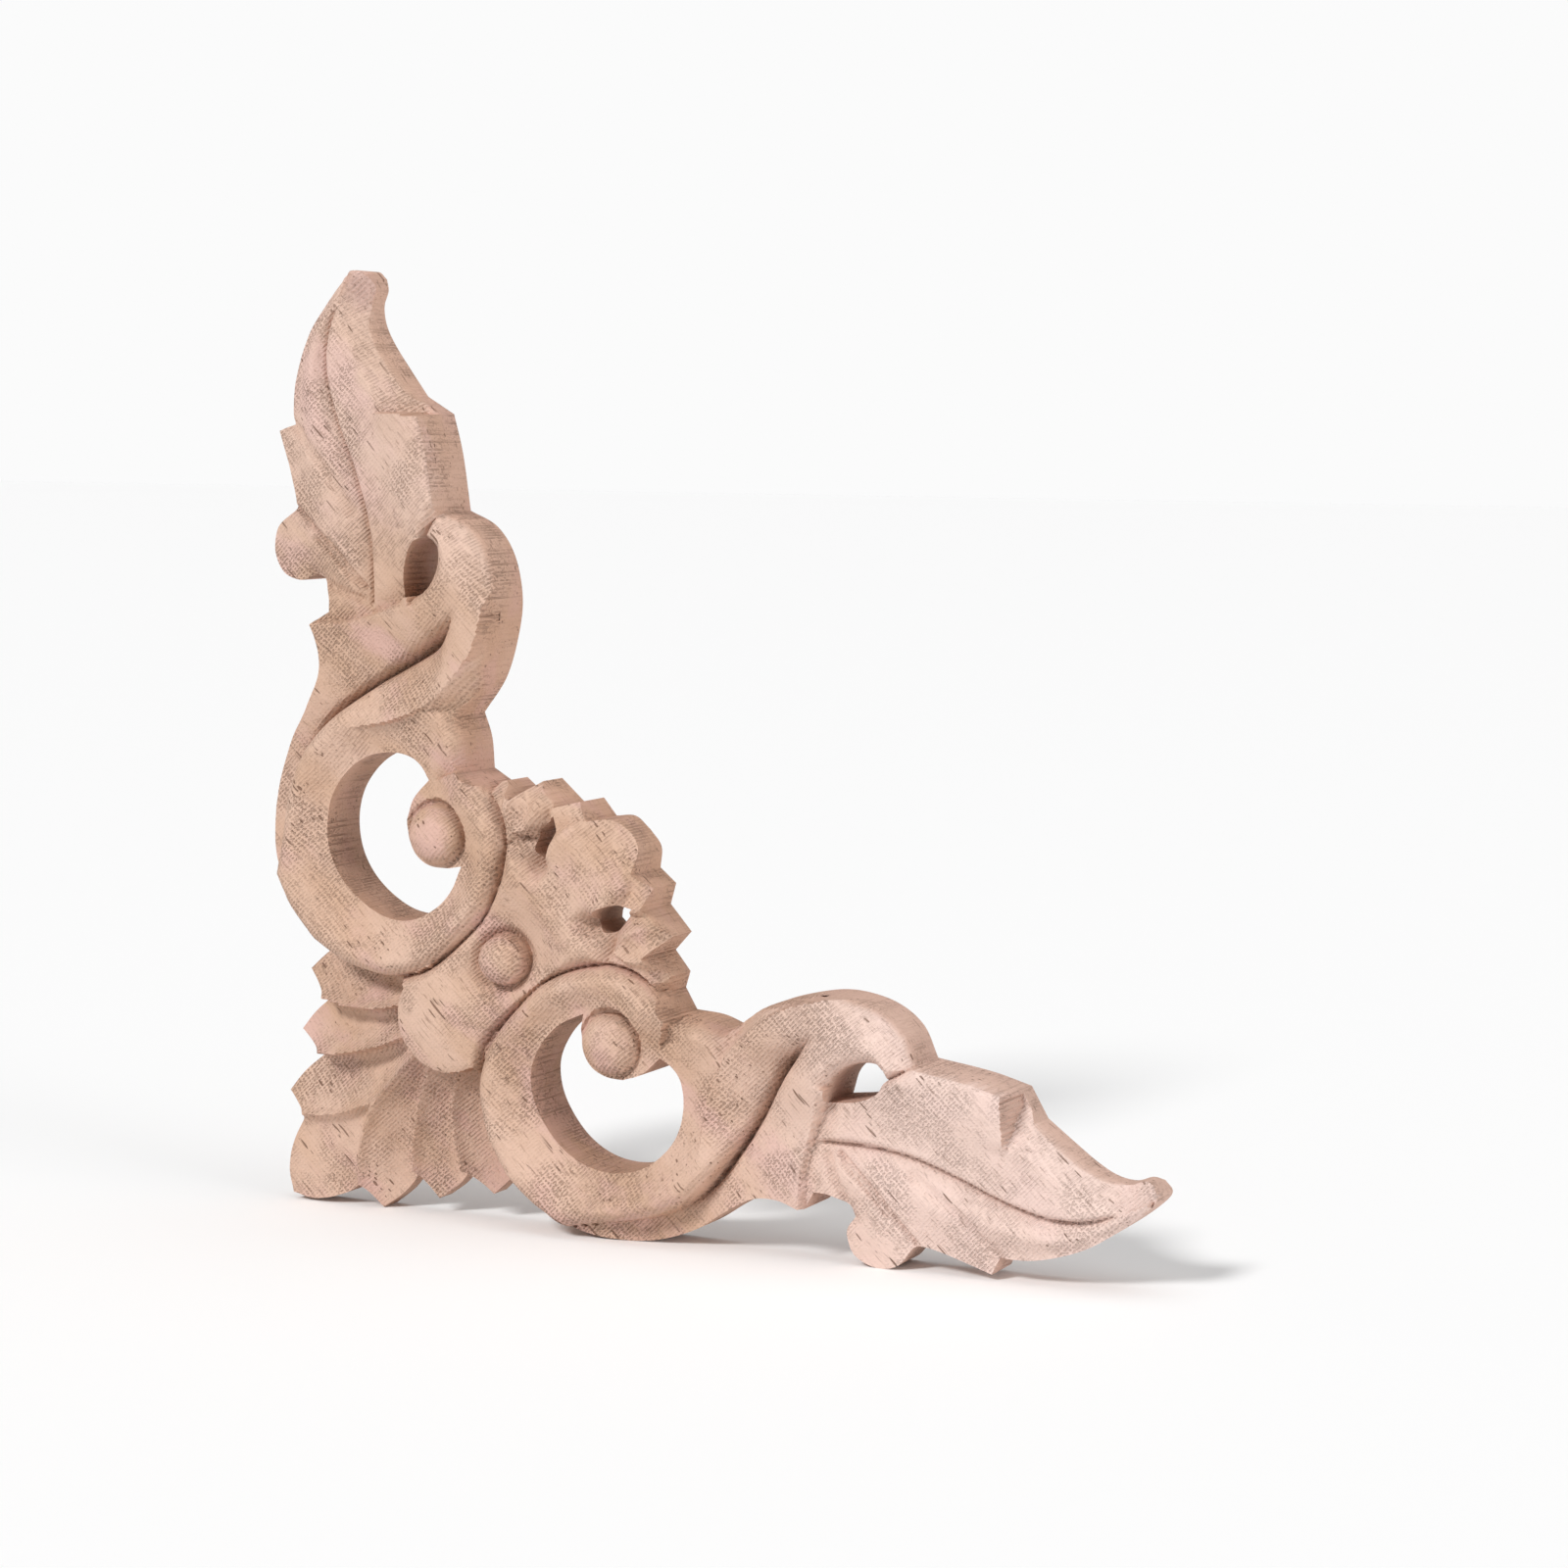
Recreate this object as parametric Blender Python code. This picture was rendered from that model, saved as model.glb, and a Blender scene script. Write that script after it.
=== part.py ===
"""Carved wooden corner onlay: one solid with a flat back and a relief face.

The onlay is an L of two equal arms, mirrored about the diagonal through the corner.
The flat back lies at y = 0 and faces +Y, and the carving faces -Y. The origin is the point of
the back behind the centre of the round boss, where the onlay is set on its panel.

The design is drawn in millimetres on a flat grid: u runs along the lower arm and v runs up
the other one, both from the outer corner. Only the arm above the diagonal u = v is drawn,
and every point below it is looked up at its mirror image. A height function gives the
carved face over the back. The solid is the outline filled with triangles, each corner
raised to its height, with straight walls down to the back.
"""
import math

import bpy
import numpy as np
from mathutils.geometry import delaunay_2d_cdt

MM = 0.001
GRID = 1.06             # spacing of the face's points
EDGE_STEP = 1.10        # spacing of points along the outline and the holes
LINE_STEP = 0.95        # spacing of points along carved lines
CLEAR = 0.62            # nothing on the grid comes nearer to a line than this share of GRID
CROWDED = 0.9           # marks nearer to each other than this share of that distance are thinned out
ROW_SHARE = math.sqrt(3) / 2    # rows of a staggered grid lie this much closer than its points
RING_OUTSIDE = 0.05     # a ring of marks lies this far outside each dome
RING_INSIDE = 0.72      # and one within it, at this share of its radius
THINNEST = 2.0          # the face is never carved nearer to the back
SHARP = math.radians(35)    # edges that turn more than this stay crisp
WOOD_COLOUR, WOOD_ROUGHNESS = (0.68, 0.48, 0.36, 1), 0.7

# Round forms: centre and radius
BOSS, BOSS_R = (22.8, 22.8), 5.9
BEAD, BEAD_R = (29.2, 29.2), 2.65
EYE, EYE_R = (21.4, 41.8), 3.15

# Heights over the back
BOSS_TOP, BOSS_FOOT = 8.2, 6.9
BEAD_TOP, BEAD_FOOT = 9.0, 5.8
EYE_TOP, EYE_FOOT, MOAT, MOAT_WIDTH = 8.9, 6.2, 6.2, 1.2
BAND_FOOT, BAND_TOP, HOLE_EDGE = 5.2, 8.4, 6.5
LEAF_LOW, LEAF_FOOT, LEAF_TOP, TIP_DROP = 5.7, 6.2, 8.2, 2.2
FAN_TOP, FAN_TIP, FAN_RIM = 6.0, 4.4, 0.4
CURL_TOP, CURL_EDGE, GROOVE_FLOOR = 8.8, 4.6, 5.0
PETAL_TOP, PETAL_TIP = 8.2, 3.6

# Outline from the outer corner up the outer side to the arm's tip. Runs meet at corners.
OUTER_RUNS = [
    [(1.7, 1.7), (1.3, 4.5), (2.1, 8.0), (3.6, 10.5)],
    [(3.6, 10.5), (1.0, 12.7)],
    [(1.0, 12.7), (3.0, 15.2), (5.7, 17.3)],
    [(5.7, 17.3), (2.6, 19.5)],
    [(2.6, 19.5), (4.2, 21.6), (6.3, 23.3)],
    [(6.3, 23.3), (3.7, 26.1)],
    [(3.7, 26.1), (5.4, 27.8), (7.5, 29.3)],
    [(7.5, 29.3), (4.2, 33.1), (2.0, 37.2), (1.1, 41.6), (1.2, 46.0), (2.7, 50.6), (5.0, 54.3),
     (6.8, 57.6), (7.1, 60.6), (6.4, 63.5)],
    [(6.4, 63.5), (8.2, 64.5)],
    [(8.2, 64.5), (8.0, 66.2), (7.0, 67.9), (5.8, 68.4)],
    [(5.8, 68.4), (4.2, 67.7), (2.1, 68.5), (1.0, 70.8), (1.4, 73.2), (3.4, 74.9)],
    [(3.4, 74.9), (3.6, 76.2), (2.9, 79.2), (1.6, 83.3)],
    [(1.6, 83.3), (3.3, 84.0)],
    [(3.3, 84.0), (3.5, 88.0), (4.9, 92.6), (7.2, 96.4), (9.4, 99.2), (10.6, 100.0), (11.6, 99.2)],
]
# Outline from the arm's tip down the inner side, past the curl and the neck, to the petals.
TIP_RUN = [(11.6, 99.2), (11.8, 98.0), (11.3, 96.4), (11.6, 94.4), (12.7, 92.3), (14.5, 89.8), (16.6, 87.0)]
SHOULDER = (19.7, 85.2)
ARMPIT = (21.7, 75.2)
CURL_RUN = [ARMPIT, (24.9, 73.6), (27.0, 70.6), (27.9, 66.3), (27.4, 62.2), (26.0, 57.9), (23.4, 54.2)]
NECK_RUN = [(23.4, 54.2), (24.3, 51.6), (24.6, 48.4)]
PETAL_TIPS = [(28.5, 47.6), (32.6, 47.7), (37.5, 45.9)]
PETAL_NOTCHES = [(26.8, 47.1), (30.6, 45.9), (35.3, 45.3), (39.0, 44.1)]
SPOON_RUN = [(39.0, 44.1), (41.2, 44.2), (42.9, 42.9)]

# Openings right through the onlay
SCROLL_HOLE = [
    [(20.4, 47.4), (19.6, 48.7), (18.3, 49.7), (16.2, 50.1), (13.4, 49.7), (10.9, 48.2), (8.9, 45.6),
     (8.1, 42.5), (8.5, 39.2), (10.0, 36.4), (12.4, 34.2), (15.2, 32.8), (18.2, 32.6), (21.0, 33.9),
     (23.0, 35.9), (24.3, 38.6)],
    [(24.3, 38.6), (22.2, 38.3), (20.2, 38.5), (18.7, 39.5), (17.9, 41.2), (17.8, 43.2)],
    [(17.8, 43.2), (18.6, 45.4), (20.4, 47.4)],
]
LENS_HOLE = [
    [(17.4, 66.0), (17.9, 69.6), (19.0, 71.9), (20.3, 72.6)],
    [(20.3, 72.6), (21.7, 71.5), (21.5, 69.0), (20.0, 66.9), (17.4, 66.0)],
]
TEAR_HOLE = [
    [(33.6, 39.7), (32.7, 40.9), (33.3, 42.7), (35.5, 44.5)],
    [(35.5, 44.5), (35.8, 42.6), (35.3, 40.9), (34.6, 39.9), (33.6, 39.7)],
]

# Carved lines
SAMPLE = 1.0            # spacing of points on a line when distances to it are taken
GROOVE_RUN = [(29.2, 73.4), (27.7, 70.2), (26.1, 67.3), (24.2, 65.0), (22.4, 62.9), (20.4, 61.2),
              (17.5, 59.5), (14.0, 57.5), (10.5, 55.1), (7.4, 52.6), (5.2, 49.8), (3.9, 46.8), (3.1, 43.5),
              (2.6, 40.3), (2.0, 37.2)]
SCROLL_FOOT_RUN = [(7.0, 29.5), (9.0, 28.3), (11.5, 27.2), (16.0, 26.5), (20.5, 27.8), (24.4, 30.9),
                   (27.2, 34.0), (28.9, 37.8), (29.5, 41.8), (28.6, 45.0), (26.6, 47.2)]
BAND_RIDGE_RUN = [(28.4, 68.5), (27.6, 64.5), (26.6, 61.4), (24.9, 58.9), (22.7, 56.5), (20.6, 55.0),
                  (16.5, 53.4), (11.0, 52.4)]
NECK_CREASE_RUN = [(20.6, 55.0), (22.6, 52.0), (23.4, 49.3)]
TONGUE_RUN = [(20.2, 47.0), (22.7, 48.0), (24.7, 48.7), (26.9, 48.6)]
MIDRIB_RUN = [(13.4, 65.6), (13.3, 70.0), (12.6, 74.8), (11.0, 79.7), (9.1, 84.5), (7.8, 89.5), (8.0, 93.6),
              (9.2, 97.0), (10.4, 99.6)]
UPPER_CREST_RUN = [(15.6, 83.0), (14.9, 85.6), (13.5, 88.2), (11.8, 90.8), (10.2, 93.6), (9.1, 96.6),
                   (9.8, 98.4), (10.6, 99.6)]
LEAF_FOOT_RUN = [(6.4, 63.5), (10.0, 63.6), (14.0, 64.6), (17.4, 66.0)]
CURL_FOOT_RUN = [(20.3, 72.6), ARMPIT]
CREASES = [
    ([(3.3, 84.0), (5.4, 82.0), (8.0, 79.0), (10.8, 75.0)], 0.6, 0.5),
    ([(3.6, 75.3), (6.5, 73.0), (9.5, 70.5), (12.4, 67.2)], 0.30, 0.6),
    ([(6.3, 72.2), (9.0, 69.9), (11.6, 67.6)], 0.25, 0.5),
    ([(5.8, 68.4), (9.0, 67.0), (12.0, 65.9)], 0.5, 0.6),
]
FAN_ARRISES = [
    [(7.5, 29.3), (10.6, 27.8), (16.2, 26.6)],
    [(6.3, 23.3), (8.6, 22.8), (11.3, 22.6), (14.2, 22.9), (17.2, 23.6)],
    [(5.7, 17.3), (8.1, 17.4), (10.9, 18.0), (13.8, 18.8), (17.4, 20.2)],
    [(3.6, 10.5), (6.4, 10.7), (8.6, 11.1), (10.9, 12.0), (13.2, 13.2), (18.6, 18.6)],
]
# Petals: base, tip, half width, depth of the hollow, depth under the spoon
PETALS = [
    ((30.0, 41.5), (28.6, 48.6), 1.4, 0.4, 0.6),
    ((31.0, 42.4), (32.7, 48.8), 1.7, 0.9, 0.3),
    ((37.0, 41.6), (37.8, 47.4), 2.2, 0.5, 1.1),
    ((34.2, 34.2), (44.4, 44.4), 4.3, 0.7, 0.0),
]
TEAR_LEAD = (33.7, 39.4)


def clear_scene():
    """Removes whatever the new file holds."""
    for old in list(bpy.data.objects):
        bpy.data.objects.remove(old, do_unlink=True)


def smooth(points, step):
    """Points along a smooth curve through the given ones (Catmull-Rom), or a straight run."""
    p = np.array(points, float)
    if len(p) == 2:
        n = max(1, round(math.dist(p[0], p[1]) / step))
        t = np.linspace(0, 1, n + 1)[:, None]
        return p[0] * (1 - t) + p[1] * t
    q = np.vstack([2 * p[0] - p[1], p, 2 * p[-1] - p[-2]])
    out = [p[0]]
    for a, b, c, d in zip(q, q[1:], q[2:], q[3:]):
        n = max(1, round(math.dist(b, c) / step))
        for t in np.linspace(0, 1, n + 1)[1:]:
            pull = (c - a) * t + (2 * a - 5 * b + 4 * c - d) * t ** 2 + (3 * b - a - 3 * c + d) * t ** 3
            out.append(b + 0.5 * pull)
    return np.array(out)


def join(runs, step):
    """One polyline from runs that meet at corners."""
    parts = [smooth(run, step) for run in runs]
    return np.vstack([parts[0]] + [part[1:] for part in parts[1:]])


def petal_runs():
    """The zigzag edge of the petals, from the neck to the spoon on the diagonal."""
    corners = [NECK_RUN[-1]]
    for notch, tip in zip(PETAL_NOTCHES, PETAL_TIPS):
        corners += [notch, tip]
    corners.append(PETAL_NOTCHES[-1])
    return [[a, b] for a, b in zip(corners, corners[1:])] + [SPOON_RUN]


def inner_runs():
    """Outline runs from the arm's tip down the inner side to the petals."""
    return [TIP_RUN, [TIP_RUN[-1], SHOULDER], [SHOULDER, (20.8, 81.0), ARMPIT], CURL_RUN, NECK_RUN]


def outline(step):
    """The closed outline: the upper half, and its mirror image back to the corner."""
    half = join(OUTER_RUNS + inner_runs() + petal_runs(), step)
    return np.vstack([half, half[::-1, ::-1][1:-1]])


def openings(step):
    """A closed loop for each opening, with its mirror image."""
    loops = []
    for runs in (SCROLL_HOLE, LENS_HOLE, TEAR_HOLE):
        loop = join(runs, step)[:-1]
        loops += [loop, loop[::-1, ::-1]]
    return loops


def nearest(p, curve):
    """For each point: distance to a polyline, and the side it lies on (+1 is left)."""
    dist = np.full(len(p), np.inf)
    side = np.ones(len(p))
    for a, b in zip(curve, curve[1:]):
        ab = b - a
        ap = p - a
        t = np.clip(ap @ ab / (ab @ ab), 0, 1)
        off = ap - t[:, None] * ab
        d = np.hypot(off[:, 0], off[:, 1])
        closer = d < dist
        dist[closer] = d[closer]
        side[closer] = np.sign(ab[0] * ap[:, 1] - ab[1] * ap[:, 0])[closer]
    return dist, side


def to(p, run):
    """Distance to a carved line."""
    return nearest(p, smooth(run, SAMPLE))[0]


def inside(p, loop):
    """True where a point lies inside a closed loop."""
    hit = np.zeros(len(p), bool)
    for (x0, y0), (x1, y1) in zip(loop, np.roll(loop, -1, axis=0)):
        if y0 == y1:
            continue
        crossed = (p[:, 1] < y0) != (p[:, 1] < y1)
        hit ^= crossed & (p[:, 0] < x0 + (p[:, 1] - y0) * (x1 - x0) / (y1 - y0))
    return hit


def ease(x, lo=0.0, hi=1.0):
    """0 up to lo and 1 from hi on, with a soft step between."""
    t = np.clip((x - lo) / (hi - lo), 0, 1)
    return t * t * (3 - 2 * t)


def blend(a, b, k):
    """From a to b as k goes from 0 to 1."""
    return a * (1 - k) + b * k


def rolled(d, width):
    """0 at an edge, and 1 from the given width on, along a quarter circle."""
    return np.sqrt(1 - (1 - np.clip(d / width, 0, 1)) ** 2)


def dome(p, centre, radius, foot, top):
    """Height of a round dome, and 0 beside it."""
    r = np.hypot(p[:, 0] - centre[0], p[:, 1] - centre[1]) / radius
    return np.where(r < 1, foot + (top - foot) * np.sqrt(np.clip(1 - r * r, 0, 1)), 0)


def fan(p):
    """Hollowed leaves that spread from the boss to the outer corner, each lapping the next."""
    r = np.hypot(p[:, 0] - BOSS[0], p[:, 1] - BOSS[1])
    crest = FAN_TOP - (FAN_TOP - FAN_TIP) * ease(r, BOSS_R, 19.5) - 0.06 * np.clip(r - 19.5, 0, 20)
    corner_side = []
    gap = []
    for run in FAN_ARRISES:
        d, side = nearest(p, smooth(run, SAMPLE))
        gap.append(d)
        corner_side.append(side < 0)
    h = crest.copy()
    for lap, away in zip(range(3), range(1, 4)):
        here = corner_side[lap] & ~corner_side[away]
        s = np.clip(gap[lap] / (gap[lap] + gap[away] + 1e-6), 0, 1) ** 0.5
        depth = np.clip(0.6 * (gap[lap] + gap[away]), 0, 2.3)
        h = np.where(here, crest - depth * 4 * s * (1 - s), h)
    s = rolled(gap[3], 2.4)
    h = np.where(corner_side[3], crest - 1.0 * s * ease(r, 12, 17) + 0.5 * ease(gap[3], 1.5, 5), h)
    return h + FAN_RIM * np.exp(-(np.minimum.reduce(gap) / 0.5) ** 2)


def groove_floor(p):
    """The groove under the curl, which runs out towards the inner side."""
    return GROOVE_FLOOR + (BAND_TOP - GROOVE_FLOOR) * ease(p[:, 0], 20.5, 25.0)


def band(p):
    """The dished C-scroll, and the S-shaped band that rises from it to the curl."""
    d_groove = to(p, GROOVE_RUN)
    d_rim = np.minimum(d_groove, to(p, SCROLL_FOOT_RUN))
    d_hole = nearest(p, join(SCROLL_HOLE, SAMPLE))[0]
    d_edge = to(p, OUTER_RUNS[7][:3])
    reach = np.minimum(d_rim, d_edge)
    dish = BAND_TOP - (BAND_TOP - HOLE_EDGE) * ease(reach / (reach + d_hole + 1e-6), 0.22, 1.0)
    scroll = blend(BAND_FOOT, dish, rolled(d_rim, 1.9))
    scroll = np.minimum(scroll, blend(BAND_FOOT + 1, BAND_TOP, rolled(d_edge, 1.2)))
    d_ridge, side = nearest(p, smooth(BAND_RIDGE_RUN, SAMPLE))
    floor = groove_floor(p)
    rise = floor + (BAND_TOP - floor) * (d_groove / (d_groove + d_ridge + 1e-6)) ** 0.8
    h = np.where(side < 0, blend(scroll, rise, ease(p[:, 0], 9.0, 16.0)), scroll)
    d_crease = to(p, NECK_CREASE_RUN)
    beyond = np.vstack([smooth(BAND_RIDGE_RUN[:6], SAMPLE), smooth(NECK_CREASE_RUN, SAMPLE),
                        [(24.7, 48.7), (40, 48.7), (40, 68.5)]])
    neck = np.maximum(8.2 - 2.4 * d_ridge, 7.7 - 0.8 * d_crease)
    d_side = np.minimum(to(p, CURL_RUN[3:]), to(p, NECK_RUN))
    neck = np.minimum(neck, 3.2 + 5.2 * rolled(d_side, 2.4))
    h = np.where(inside(p, beyond), np.maximum(neck, 3.2), h)
    d_tongue, tongue_side = nearest(p, smooth(TONGUE_RUN, SAMPLE))
    behind = (tongue_side > 0) & (p[:, 0] > 20.0) & (p[:, 1] > 46)
    return np.where(behind, h - 1.0 * (1 - ease(d_tongue, 0.0, 3.0)) * ease(p[:, 0], 20.6, 23.0), h)


def curl(p):
    """The strip that swells from the leaf's foot into the rounded curl, over the groove."""
    d_groove = to(p, GROOVE_RUN)
    d_foot = to(p, LEAF_FOOT_RUN)
    slant = GROOVE_FLOOR + 0.4 * rolled(d_groove, 0.6) + 2.0 * d_groove / (d_groove + d_foot + 1e-6)
    floor = groove_floor(p)
    swell = floor + (CURL_TOP - floor) * rolled(d_groove, 5.6)
    h = blend(slant, swell, ease(p[:, 0], 14.0, 20.5))
    low = 6.1 - 1.3 * ease(p[:, 1], 38.0, 47.0)
    return np.where(p[:, 0] < 12, blend(low, h, ease(p[:, 1] + 0.3 * p[:, 0], 50.0, 58.0)), h)


def curl_edge(p):
    """The rounded edges at the curl's upper right, which turns crisp lower down, and by the lens."""
    d_edge = to(p, CURL_RUN[:5]) + 6 * ease(-p[:, 1], -68.0, -63.0)
    edge = CURL_EDGE + (CURL_TOP - CURL_EDGE) * rolled(d_edge, 4.5)
    edge = np.minimum(edge, LEAF_FOOT + (CURL_TOP - LEAF_FOOT) * rolled(to(p, LENS_HOLE[1]), 2.4))
    return np.where((p[:, 0] > 19) & (p[:, 1] > 61), edge, CURL_TOP)


def leaf(p):
    """The acanthus leaf at the arm's end, parted by its midrib groove."""
    d, side = nearest(p, smooth(MIDRIB_RUN, SAMPLE))
    d_out = nearest(p, join(OUTER_RUNS[10:], SAMPLE))[0]
    outer = LEAF_LOW + 0.7 * ease(d, 0.0, 2.6) - 1.2 * ease(d / (d + d_out + 1e-6), 0.4, 1.0)
    for run, width, depth in CREASES:
        outer = outer - depth * np.exp(-(to(p, run) / width) ** 2)
    d_in = nearest(p, join(inner_runs()[:3], SAMPLE))[0]
    d_upper, upper_side = nearest(p, smooth(UPPER_CREST_RUN, SAMPLE))
    low = p[:, 1] + 0.06 * (p[:, 0] - 14) < 85.4
    top = LEAF_TOP - 1.0 - TIP_DROP * ease(p[:, 1], 88, 100)
    bank = LEAF_LOW + 0.9 * rolled(d, 0.9)
    blade = bank + (top - bank) * (d / (d + d_upper + 1e-6)) ** 0.9
    blade = np.where((upper_side > 0) & (p[:, 1] < 96.5), blade, np.maximum(top - 1.5 * d_upper, 2.6))
    plateau = bank + (LEAF_TOP - bank) * ease(d / (d + d_in + 1e-6), 0.1, 0.85)
    plateau = plateau - 0.5 * (1 - rolled(d_in, 0.7))
    to_blade = ease(p[:, 1], 78, 85.4) * (1 - ease(p[:, 0], 13.5, 15.5))
    inner = np.where(low, blend(plateau, blade, to_blade), blade)
    h = np.where(side > 0, outer, inner) - 0.5 * np.exp(-(d / 0.3) ** 2) * ease(-p[:, 1], -99, -94)
    return blend(np.minimum(h, LEAF_FOOT), h, ease(to(p, LEAF_FOOT_RUN), 0.0, 2.4))


def cluster(p):
    """A smooth stem that flares from the bead into hollowed petals, each lapping the next."""
    r = np.hypot(p[:, 0] - BEAD[0], p[:, 1] - BEAD[1])
    h = 6.0 + 2.0 * ease(r, 2.5, 9.5)
    h = np.where(r > 10.5, np.maximum(h - 0.95 * (r - 10.5), 2.8), h)
    for base, tip, width, hollow, under in PETALS:
        base, tip = np.array(base), np.array(tip)
        length = math.dist(base, tip)
        axis = (tip - base) / length
        t = ((p - base) @ axis) / length
        aside = (p - base) @ np.array([-axis[1], axis[0]])
        half = width * np.clip(1 - np.abs(2 * np.clip(t, 0, 1) - 1) ** 2.2, 0.02, 1)
        top = PETAL_TOP - under
        rim = top - 0.7 * (1 - ease(t, 0.0, 0.35)) - (top - PETAL_TIP) * ease(t, 0.5, 1.05)
        bowl = hollow * np.clip(1 - (aside / half / 0.85) ** 2, 0, 1) * ease(t, 0.03, 0.3)
        steep = np.where(aside > 0, 1.7, 0.9)
        petal = rim + 0.25 * np.clip(aside / half, -1, 1) - bowl - steep * np.clip(np.abs(aside) - half, 0, 9)
        within = (t > 0) & (np.abs(aside) < half)
        h = np.where(within, petal, np.where(t > 0, np.maximum(h, petal), h))
    return h - 2.4 * np.exp(-(np.hypot(p[:, 0] - TEAR_LEAD[0], p[:, 1] - TEAR_LEAD[1]) / 1.3) ** 2)


def web(p):
    """The tongue that runs from the boss between the scrolls to the bead."""
    along = (p[:, 0] + p[:, 1]) / 2
    across = (p[:, 1] - p[:, 0]) / math.sqrt(2)
    on_tongue = (along > BOSS[0] - 1) & (along < 31) & (across < 8)
    return np.where(on_tongue, 7.6 - 0.25 * np.clip(along - 25, 0, 6), 0)


def height(points):
    """Height of the carved face over the back."""
    p = np.asarray(points, float)
    p = np.stack([p.min(axis=1), p.max(axis=1)], axis=1)
    u, v = p[:, 0], p[:, 1]
    rim = np.vstack([smooth(GROOVE_RUN, SAMPLE), [(-1, 36), (-1, 29)], smooth(SCROLL_FOOT_RUN, SAMPLE)])
    far = np.array([(24.6, 48.4), (25.6, 52.0), (30.0, 57.0), (34.0, 64.0), (34.0, 73.4)])
    in_band = inside(p, np.vstack([rim, far]))
    leaf_line = [(-5, 63.3)] + LEAF_FOOT_RUN + [(19.2, 68.4), (20.6, 73.0), ARMPIT, (40, 75.6)]
    above = v > np.interp(u, [a for a, _ in leaf_line], [b for _, b in leaf_line])
    h = np.where((u > 29) | (u + v > 60) | (v > 30), cluster(p), fan(p))
    h = np.where(~in_band & (u < 29) & (v > 29.6) & (v > 30 + (u - 8) * 1.5), curl(p), h)
    h = np.where(in_band, band(p), h)
    h = np.where(above, leaf(p), np.where(v > 55, np.minimum(h, curl_edge(p)), h))
    d_foot = np.minimum(to(p, LEAF_FOOT_RUN), to(p, CURL_FOOT_RUN))
    h = np.where(in_band & ~above, h, np.minimum(h, LEAF_FOOT + 2.6 * rolled(d_foot, 2.6)))
    h = np.maximum(h, np.where(in_band, 0, web(p)))
    h = np.maximum(h, dome(p, BOSS, BOSS_R, BOSS_FOOT, BOSS_TOP))
    r_bead = np.hypot(u - BEAD[0], v - BEAD[1]) - BEAD_R
    h = np.where(in_band, h, h - 1.1 * np.exp(-(r_bead / 0.7) ** 2))
    valley = BAND_FOOT + 3.2 * rolled(to(p, SCROLL_FOOT_RUN), 2.6)
    h = np.where(in_band | above | (v > 48.5), h, np.minimum(h, valley))
    h = np.maximum(h, np.where(in_band, 0, dome(p, BEAD, BEAD_R, BEAD_FOOT, BEAD_TOP)))
    fade = ease(u, 4.0, 9.0) * (1 - ease(u, 20.0, 25.0))
    h = h - 1.3 * np.exp(-(to(p, GROOVE_RUN) / 0.45) ** 2) * np.where(v > 45, fade, 0)
    r_eye = np.hypot(u - EYE[0], v - EYE[1]) - EYE_R
    moat = MOAT + 2.6 * ease(r_eye, 0.35, MOAT_WIDTH)
    h = np.where(r_eye < MOAT_WIDTH, np.minimum(h, moat), h)
    return np.maximum(h, dome(p, EYE, EYE_R, EYE_FOOT, EYE_TOP))


def face_points(loops):
    """Points on the carved lines, and a staggered grid between them, inside the outline."""
    edge = np.vstack(loops)
    carved = [GROOVE_RUN, SCROLL_FOOT_RUN, BAND_RIDGE_RUN, NECK_CREASE_RUN, TONGUE_RUN, MIDRIB_RUN,
              UPPER_CREST_RUN, LEAF_FOOT_RUN, CURL_FOOT_RUN] + FAN_ARRISES
    lines = [smooth(run, LINE_STEP) for run in carved]
    for (cu, cv), radius in ((BOSS, BOSS_R), (BEAD, BEAD_R), (EYE, EYE_R)):
        lines.append(np.array([(cu, cv)]))
        for r in (radius + RING_OUTSIDE, radius * RING_INSIDE):
            a = np.linspace(0, 2 * math.pi, max(8, round(2 * math.pi * r / LINE_STEP)), endpoint=False)
            lines.append(np.stack([cu + r * np.cos(a), cv + r * np.sin(a)], axis=1))
    marks = np.vstack(lines)
    marks = marks[marks[:, 1] >= marks[:, 0] - 1e-9]
    beside_diagonal = marks[marks[:, 1] > marks[:, 0] + 0.4]
    marks = np.vstack([marks, beside_diagonal[:, ::-1]])
    rows = []
    top = edge.max()
    for k, v in enumerate(np.arange(GRID / 2, top, GRID * ROW_SHARE)):
        u = np.arange(GRID / 2 * (1 + k % 2), top, GRID)
        rows.append(np.stack([u, np.full(len(u), v)], axis=1))
    grid = np.vstack(rows)
    marks = thinned(clear_of(marks, edge, loops), CLEAR * GRID * CROWDED)
    grid = clear_of(grid, np.vstack([edge, marks]), loops)
    return np.vstack([marks, grid])


def clear_of(points, taken, loops):
    """The points on the wood that keep their distance from the points already taken."""
    near = [np.hypot(taken[:, 0] - a, taken[:, 1] - b).min() < CLEAR * GRID for a, b in points]
    points = points[~np.array(near)]
    points = points[inside(points, loops[0])]
    for loop in loops[1:]:
        points = points[~inside(points, loop)]
    return points


def thinned(points, reach):
    """The points without those that crowd an earlier one."""
    kept = np.zeros((0, 2))
    for point in points:
        if len(kept) == 0 or np.hypot(*(kept - point).T).min() >= reach:
            kept = np.vstack([kept, point])
    return kept


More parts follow.
